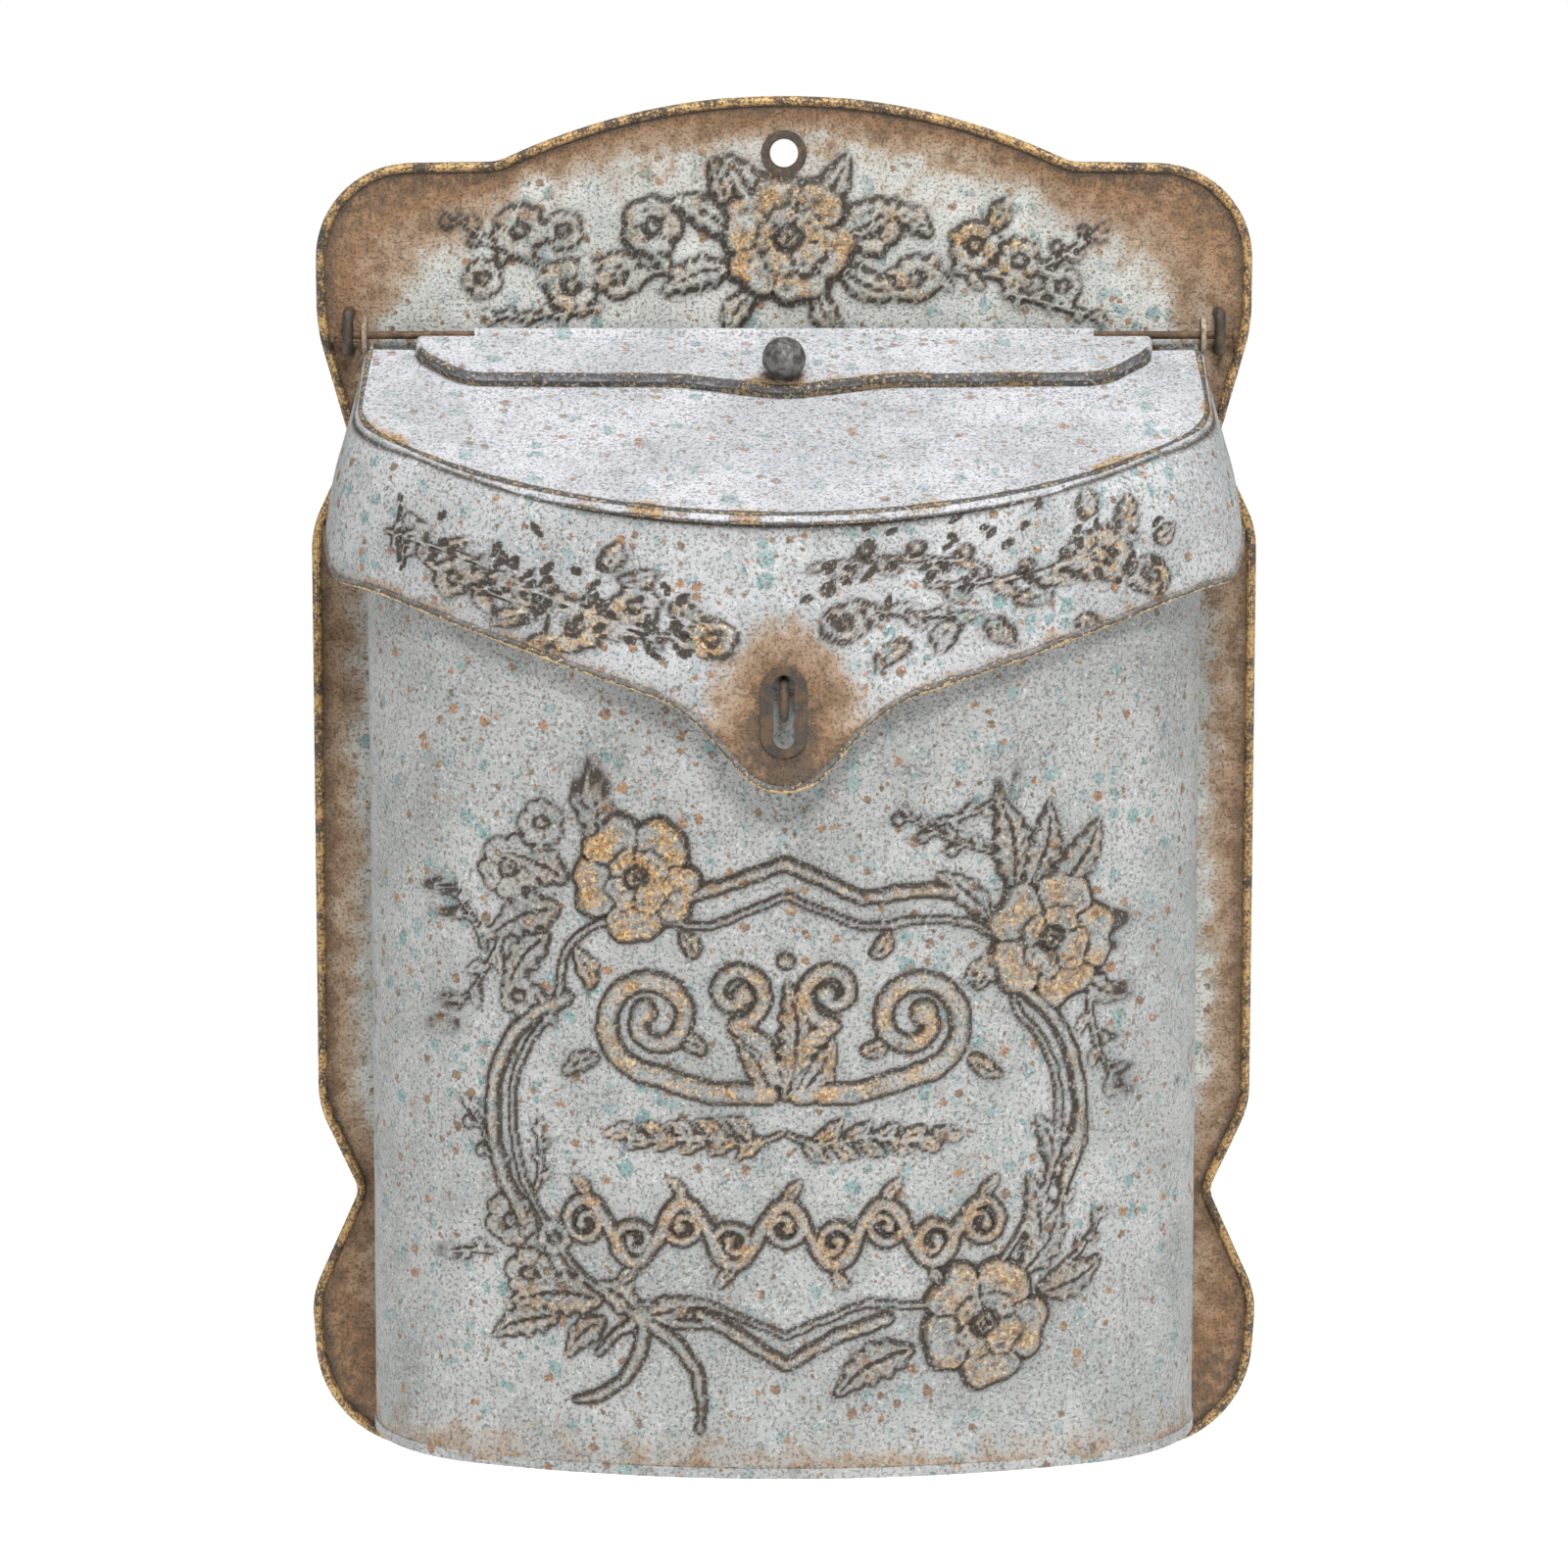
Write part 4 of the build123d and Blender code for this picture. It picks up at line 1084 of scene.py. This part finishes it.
def makeSkirt():
    shape = skirtShape
    count = int(2 * lidPlan["length"] / shape["step"])
    s = np.linspace(-1, 1, count)
    edge3 = topEdge(s, lidPlan["topFace"] - lidPlan["sheet"] * 0.4, -0.2, topPlan["rearU"])
    top = edge3[:, 2]
    x, y, _, _ = lidAt(s, np.full(count, -118.0), 0, shape["rear"])
    wide = shape["half"] * 2
    points = [
        (-wide, shape["side"]), (-shape["easeX"], shape["easeZ"]), (-shape["tongueX"], shape["tongueZ"]),
        (0, shape["tip"])
    ]
    points += [(-px, pz) for px, pz in points[-2::-1]]
    edge = roundedPath(points + [(wide, 0), (-wide, 0)], [0, 60, 35, 12, 35, 60, 0, 0, 0], 0.5)[:-2]
    cut = unit((y + 62) / 24)
    low = np.interp(x, edge[:, 0], edge[:, 1]) + 11 * cut**2 * (3 - 2 * cut)
    v = np.linspace(0, 1, shape["rows"])[:, None]
    z = top + (low - top) * v
    x, y, nx, ny = skirtAt(s[None], z, edge3)
    across = s[None] * lidPlan["length"] + 0 * z
    work = Relief(across, z)
    sprays(work)
    work.gilt = unit(work.gilt * 1.4)
    fade = unit((z - low) / 3) * unit((top - z - 3) / 3)
    work.height = work.height * fade + 0.15 * wobble(across, z, 26, 9)
    out = np.clip(work.height, -0.5, 4)
    grid = np.stack([x + nx * out, y + ny * out, z], axis=-1)
    fromEdge = z - low
    fromRear = np.abs(1 - np.abs(s[None])) * lidPlan["length"] + 0 * z
    lock = np.hypot(x, (z - shape["slotZ"] + 6) * 0.72)
    marks = {
        "wash": work.wash() + 1.6 * work.dark + 0.3 * unit(1.2 - lock / 15)
        + 0.9 * hump((top - z - 3.2) / 1.0),
        "gilt": work.gilt,
        "rust": 1.5 * unit(1.3 - lock / 19) + 0.5 * unit(1 - fromEdge / 5) + 0.35 * unit(1 - fromRear / 9),
        "rim": unit(1.3 - fromEdge / 2.2) * 0.9,
    }
    return grid, marks, np.stack([x[-1], y[-1], low], axis=1), np.stack([nx[-1], ny[-1], 0 * low], axis=1)


grid, marks, hemLine, hemOut = makeSkirt()
faces = gridFaces(*grid.shape[:2])[:, ::-1]
points = grid.reshape(-1, 3)
centre = points[faces].mean(1)
reach = (skirtShape["slotH"] - skirtShape["slotW"]) / 2
far = np.hypot(
    centre[:, 0],
    np.abs(centre[:, 2] - skirtShape["slotZ"]) - np.clip(
        np.abs(centre[:, 2] - skirtShape["slotZ"]), 0, reach
    )
)
points, faces, marks = tidyGrid(points, faces, marks, far > skirtShape["slotW"] / 2 + 0.6)
lidSkirt = putPiece(
    "lidSkirt", points, [faces], skirtTin, "lid", marks, ["lid_skirt"], flat=60
)
thicken(lidSkirt, lidPlan["sheet"])

tubeSides = skirtShape["tubeSides"]
hemPath = resample(hemLine, skirtShape["hemPoints"])
hemSide = resample(hemOut, skirtShape["hemPoints"])
hemPath = hemPath + np.array([0, 0, 0.4]) - hemSide * 0.35
points, faces = sweepRing(
    hemPath, hemSide, skirtShape["hem"] * (1 + 0.06 * wobble(hemPath[:, 0], hemPath[:, 2], 5, 4)),
    tubeSides, closed=False
)
points, faces = capped(points, faces, tubeSides)
# The hem's underside is darkened through its rim mark: painted shade on the lower half of the bead, over its
# worn edge.
shadedUnderside = unit(
    (np.repeat(hemPath[:, 2], tubeSides) - points[: len(hemPath) * tubeSides, 2]) / skirtShape["hem"]
)
marks = {"rim": np.r_[0.2 + shadedUnderside * 0.9, 0, 0]}
putPiece("lidHem", points, faces, hemTin, "lid", marks, ["lid_skirt"], weld=True)


# Profile of (along, radius) pairs turned about an axis; a closed profile makes a ring.
def lathe(
    profile, middle, axis, first, steps, material, name, body, replaces=(), closedProfile=True,
    rough=0.0
):
    axis, first = np.asarray(axis, float), np.asarray(first, float)
    third = np.cross(axis, first)
    turn = np.linspace(0, 2 * np.pi, steps, endpoint=False)
    profile = np.asarray(profile, dtype=float)
    spoke = np.cos(turn)[:, None] * first + np.sin(turn)[:, None] * third
    points = np.asarray(middle) + profile[:, None, 0:1] * axis + profile[:, None, 1:2] * spoke[None]
    points = points.reshape(-1, 3)
    if rough:
        lump = wobble(
            points[:, 0] * 1.0, points[:, 2] + points[:, 1] * 0.8, 1.1, 21
        ) + 0.6 * wobble(points[:, 1], points[:, 0] - points[:, 2], 0.6, 22)
        offAxis = points - np.asarray(middle) - profile.mean(0)[0] * axis
        points = points + offAxis / np.linalg.norm(offAxis, axis=1)[:, None] * lump[:, None] * rough
    faces = gridFaces(len(profile), steps, wrap=True)
    if closedProfile:
        faces = joinEnds(faces, len(profile), steps)
    return putPiece(name, points, [faces], material, body, None, replaces, weld=True)


for side, label in ((-1, "Left"), (1, "Right")):
    shape = skirtShape
    ring = [
        (shape["earIn"], shape["earHole"]), (shape["earIn"], shape["earR"]),
        (shape["earOut"], shape["earR"]), (shape["earOut"], shape["earHole"])
    ]
    ring = [(side * a, r) for a, r in ring]
    lathe(
        ring, (0, hinge[1], hinge[2]), (1, 0, 0), (0, 1, 0), shape["earSteps"], earTin,
        "hingeEar" + label, "lid", ["lid_skirt"]
    )
print("lid skirt made")

# Lid top: sloping sheet whose edge is folded down over the skirt.

topShape = {
    "rear": 10.2, "rearU": 4.0, "lip": 2.7, "rows": 66, "columns": 330, "wall": 0.7, "round": 0.9,
    "slotHalf": 78.0, "slotNear": 6.0, "slotWidth": 14.0, "narrow": 0.9
}


def makeLidTop():
    shape = topShape
    n = lidPlan["topFace"]
    s = np.linspace(-1, 1, shape["columns"])
    grow = lidPlan["sheet"]
    edge3 = topEdge(s, n, grow - shape["round"], shape["rearU"])
    x, y, z = edge3.T
    v = np.linspace(0, 1, shape["rows"])[:, None]
    rearX, rearY = x * shape["narrow"], np.full_like(y, -shape["rear"])
    gx, gy = rearX + (x - rearX) * v, rearY + (y - rearY) * v
    gz = alongLid(n, gy)
    sheet = np.stack([gx, gy, gz], axis=-1)
    sag = 0.35 * wobble(gx, gy, 34, 12) * unit((1 - v) * 6)
    sheet = sheet + sag[..., None] * lidNormal
    lips = []
    for down, out in (
        (0.12, 0.45), (0.4, 0.78), (0.9, 0.95), (1.6, 0.98), (shape["lip"], 1.0),
        (shape["lip"] + 0.25, 0.55)
    ):
        lz = z - down
        lip = topEdge(s, n, grow - shape["round"] * (1 - out) + 0.55 * max(down - 0.9, 0), shape["rearU"])
        lips.append(np.stack([lip[:, 0], lip[:, 1], lz], axis=-1))
    grid = np.vstack([sheet, np.stack(lips)])
    fromEdge = np.hypot(x - gx, y - gy)
    lipRows = len(lips)
    patchy = unit(0.35 + 1.3 * wobble(gx, gy, 12, 31) + 0.5 * hump((np.abs(gx) - 100) / 7))
    wear = unit(1 - fromEdge / (2.0 + 5.0 * patchy))
    rust = np.vstack([0.55 * wear * patchy**2, np.tile(0.1 + 0.4 * patchy[-1] ** 2, (lipRows, 1))])
    rim = np.vstack(
        [
            unit(1.4 - fromEdge / 1.3) * 1.05,
            np.tile(np.array([[1.0], [1.0], [0.45], [0.3], [1.0], [1.1]]), (1, len(s)))
        ]
    )
    gilt = np.vstack([wear * patchy**2, np.tile(0.7 * patchy[-1] ** 2, (lipRows, 1))])
    return grid, {"rim": rim, "rust": rust, "gilt": gilt, "wash": 0 * rim}


grid, marks = makeLidTop()
points = grid.reshape(-1, 3)
faces = gridFaces(*grid.shape[:2])[:, ::-1]
slotRear, slotFront = hinge[1] - topShape["slotNear"] * cosSlope, hinge[1] - (
    topShape["slotNear"] + topShape["slotWidth"]
) * cosSlope
centre = points[faces].mean(1)
inSlot = (
    np.abs(centre[:, 0]) < topShape["slotHalf"]
) & (centre[:, 1] < slotRear) & (centre[:, 1] > slotFront)
gone = np.unique(faces[inSlot])
kept = np.unique(faces[~inSlot])
border = np.intersect1d(gone, kept)
p = points[border]
gapX, gapRear, gapFront = topShape["slotHalf"] - np.abs(p[:, 0]), np.abs(p[:, 1] - slotRear), np.abs(
    p[:, 1] - slotFront
)
nearest = np.argmin(np.stack([np.abs(gapX), gapRear, gapFront]), axis=0)
p[:, 0] = np.where(nearest == 0, np.sign(p[:, 0]) * topShape["slotHalf"], p[:, 0])
p[:, 1] = np.where(nearest == 1, slotRear, np.where(nearest == 2, slotFront, p[:, 1]))
p[:, 2] = alongLid(lidPlan["topFace"], p[:, 1])
points[border] = p
points, faces, marks = tidyGrid(points, faces, marks, ~inSlot)
lidTop = putPiece(
    "lidTop", points, [faces], topTin, "lid", marks, ["lid_top"], weld=False, flat=50
)
thicken(lidTop, topShape["wall"])
print("lid top made")

# Letter flap: sheet with a turned-down edge and a rolled barrel, and its ball knob.

flapShape = {
    "half": 99.0, "rear": 2.6, "side": 26.5, "nose": 35.0, "noseWide": 28.0, "cut": 13.0, "lip": 1.75,
    "sheet": 0.8,
    "barrelHalf": 84.0, "barrelR": 1.92, "barrelRings": 160, "barrelSides": 16, "rows": 26,
    "columns": 420, "wall": 0.6, "knobAt": 28.0, "knobR": 5.8, "neckR": 3.4, "neckH": 1.2,
    "knobSteps": 96,
}


def makeFlap():
    f = flapShape
    side = [
        (f["half"], -f["rear"]), (f["half"], -12.0), (f["half"] - f["cut"], -f["side"]),
        (f["noseWide"], -f["side"] - 1)
    ]
    points = [(-x, y) for x, y in side] + [(0, -f["nose"])] + side[::-1]
    outline = roundedPath(points, [0, 12, 14, 28, 22, 28, 14, 12, 0], 0.6)
    outline = resample(outline, f["columns"])
    along = np.gradient(outline, axis=0)
    along /= np.linalg.norm(along, axis=1)[:, None]
    out = np.stack([along[:, 1], -along[:, 0]], axis=1)
    out *= np.sign((out * (outline - [0, -12])).sum(1).mean())
    inner = outline - out * 0.8
    v = np.linspace(0, 1, f["rows"])[:, None]
    rearX = inner[:, 0] * 0.96
    rearU = np.where(np.abs(rearX) < f["barrelHalf"], -1.0, -f["rear"])
    x, u = rearX + (inner[:, 0] - rearX) * v, rearU + (inner[:, 1] - rearU) * v
    top = f["sheet"] / 2
    bend = 0.25 * wobble(x, u, 22, 14) * unit(-u / 8)
    sheet = onLid(x, u, top + np.clip(bend, -0.2, 0.4))
    lips = []
    for down, far in (
        (0.1, 0.45), (0.35, 0.72), (0.8, 0.8), (1.4, 0.8), (top + f["lip"], 0.8), (top + f["lip"], 0.1)
    ):
        ring = inner + out * far
        lips.append(onLid(ring[:, 0], ring[:, 1], top - down))
    fromEdge = np.hypot(inner[:, 0] - x, inner[:, 1] - u)
    frontward = unit((-inner[:, 1] - 4) / 8)
    # The front edge's dark line is partly dark edge paint and partly painted shade under the turned-down lip.
    rim = np.vstack(
        [
            unit(1.3 - fromEdge / 1.3) * 0.95 * frontward,
            np.outer([0.9, 0.8, 0.7, 1.0, 1.2, 1.2], frontward)
        ]
    )
    patchy = unit(0.4 + 0.9 * wobble(x, u, 14, 41))
    rust = np.vstack(
        [
            unit(1 - fromEdge / 4) * patchy * 0.7,
            np.outer([0.4, 0.4, 0.35, 0.35, 0.5, 0.5], patchy[-1] * frontward)
        ]
    )
    knobStain = unit(1.2 - np.hypot(x, u + f["knobAt"]) / 7.5)
    rust[: f["rows"]] += knobStain * 0.55
    return np.vstack([sheet, np.stack(lips)]), {
        "rim": rim, "rust": rust, "gilt": 0.5 * rust,
        "wash": np.vstack([knobStain * 0.5, np.zeros((6, x.shape[1]))])
    }


grid, marks = makeFlap()
marks = {k: v.ravel() for k, v in marks.items()}
flapSheet = putPiece(
    "flapSheet", grid.reshape(-1, 3), [gridFaces(*grid.shape[:2])], topTin, "flap", marks,
    ["letter_flap"], flat=50
)
thicken(flapSheet, flapShape["wall"])
n, sides = flapShape["barrelRings"], flapShape["barrelSides"]
barrelX = np.linspace(-flapShape["barrelHalf"], flapShape["barrelHalf"], n)
path = np.stack([barrelX, np.full(n, hinge[1]), np.full(n, hinge[2])], axis=1)
points, faces = sweepRing(
    path, np.tile([0.0, 0, 1], (n, 1)),
    flapShape["barrelR"] * (0.98 + 0.02 * wobble(barrelX, 0 * barrelX, 6, 3)), sides, closed=False
)
points, faces = capped(points, faces, sides)
# The barrel's lower half is darkened through its rim mark: painted shade beneath the barrel.
shadedUnderside = unit((hinge[2] - points[:, 2]) / flapShape["barrelR"] * 1.3 - 0.2)
putPiece(
    "flapBarrel", points, faces, topTin, "flap", {"rim": shadedUnderside}, ["letter_flap"], weld=True
)

f = flapShape
centreN = f["sheet"] / 2 + f["neckH"] + math.sqrt(f["knobR"] ** 2 - f["neckR"] ** 2)
low = math.asin(-math.sqrt(1 - (f["neckR"] / f["knobR"]) ** 2))
turn = np.linspace(low, math.pi / 2 - 0.02, 60)
profile = [
    (f["sheet"] / 2, 0.02), (f["sheet"] / 2, f["neckR"] + 0.5), (f["sheet"] / 2 + 0.5, f["neckR"] + 0.3),
    (f["sheet"] / 2 + 0.8, f["neckR"])
]
profile += [
    (centreN + f["knobR"] * math.sin(t), f["knobR"] * math.cos(t)) for t in turn
] + [(centreN + f["knobR"], 0.0)]
knobFoot = hinge - lidRise * f["knobAt"]
lathe(
    profile, knobFoot, lidNormal, lidAcross, f["knobSteps"], knobSteel, "flapKnob", "flap",
    ["flap_knob"], closedProfile=False, rough=0.16
)
print("flap made")

for node, material in {
    "rim_wire": wire, "hanging_eyelet": steel, "body_shell": plainTin, "bottom_pan": plainTin,
    "body_rivets": steel, "hinge_rod": wire,
    "hinge_staple_left": steel, "hinge_staple_right": steel, "hasp_staple": steel, "hasp_backing": steel,
    "hasp_ring": steel, "knob_stud": steel,
}.items():
    cad = frame["nodes"][node]
    cad.data.materials.clear()
    cad.data.materials.append(material)

# Stage, camera and light.

view = {
    "key": 15.5, "top": 17.0, "sky": 0.40, "glow": 0.66, "elevation": 8.0, "distance": 1.5,
    "lens": 124.74, "sensor": 36.0, "aimZ": -173.1,
    "floorReach": 6.0, "floorDrop": 0.25,
}


def areaLight(name, place, aim, size, power, tint=(1, 1, 1)):
    lamp = bpy.data.lights.new(name, "AREA")
    lamp.shape, lamp.size, lamp.energy, lamp.color = "DISK", size, power, tint
    holder = bpy.data.objects.new(name, lamp)
    bpy.context.scene.collection.objects.link(holder)
    holder.location = place
    holder.rotation_euler = (Vector(aim) - Vector(place)).to_track_quat("-Z", "Y").to_euler()
    return holder


def makeStage():
    scene = bpy.context.scene
    world = bpy.data.worlds.new("studio")
    scene.world = world
    world.use_nodes = True
    sky = world.node_tree.nodes["Background"]
    sky.inputs["Color"].default_value = (1, 1, 1, 1)
    sight = world.node_tree.nodes.new("ShaderNodeLightPath")
    bright = world.node_tree.nodes.new("ShaderNodeMapRange")
    bright.inputs["To Min"].default_value = view["sky"]
    bright.inputs["To Max"].default_value = 1.0
    world.node_tree.links.new(sight.outputs["Is Camera Ray"], bright.inputs["Value"])
    world.node_tree.links.new(bright.outputs["Result"], sky.inputs["Strength"])
    floorMesh = bpy.data.meshes.new("floor")
    reach, low = view["floorReach"], plateLow[2] * mm - view["floorDrop"]
    floorMesh.from_pydata(
        [(-reach, -reach, low), (reach, -reach, low), (reach, reach, low), (-reach, reach, low)], [],
        [(0, 1, 2, 3)]
    )
    floor = bpy.data.objects.new("floor", floorMesh)
    scene.collection.objects.link(floor)
    pale = bpy.data.materials.new("paleFloor")
    pale.use_nodes = True
    sockets = pale.node_tree.nodes["Principled BSDF"].inputs
    sockets["Base Color"].default_value = (0.9, 0.9, 0.9, 1)
    sockets["Roughness"].default_value = 0.9
    sockets["Emission Color"].default_value = (1, 1, 1, 1)
    sockets["Emission Strength"].default_value = view["glow"]
    floorMesh.materials.append(pale)
    areaLight("key", (0.12, -1.3, 0.82), (0, 0, -0.12), 0.45, view["key"])
    areaLight("top", (0.25, -0.35, 1.4), (0, -0.05, -0.1), 0.5, view["top"], (0.92, 0.96, 1))
    camera = bpy.data.cameras.new("camera")
    camera.lens, camera.sensor_width = view["lens"], view["sensor"]
    holder = bpy.data.objects.new("camera", camera)
    scene.collection.objects.link(holder)
    e = math.radians(view["elevation"])
    aim = (0, 0, view["aimZ"] * mm)
    holder.location = (0, -view["distance"] * math.cos(e), aim[2] + view["distance"] * math.sin(e))
    holder.rotation_euler = (math.pi / 2 - e, 0, 0)
    scene.camera = holder
    scene.view_settings.view_transform = "Standard"


makeStage()
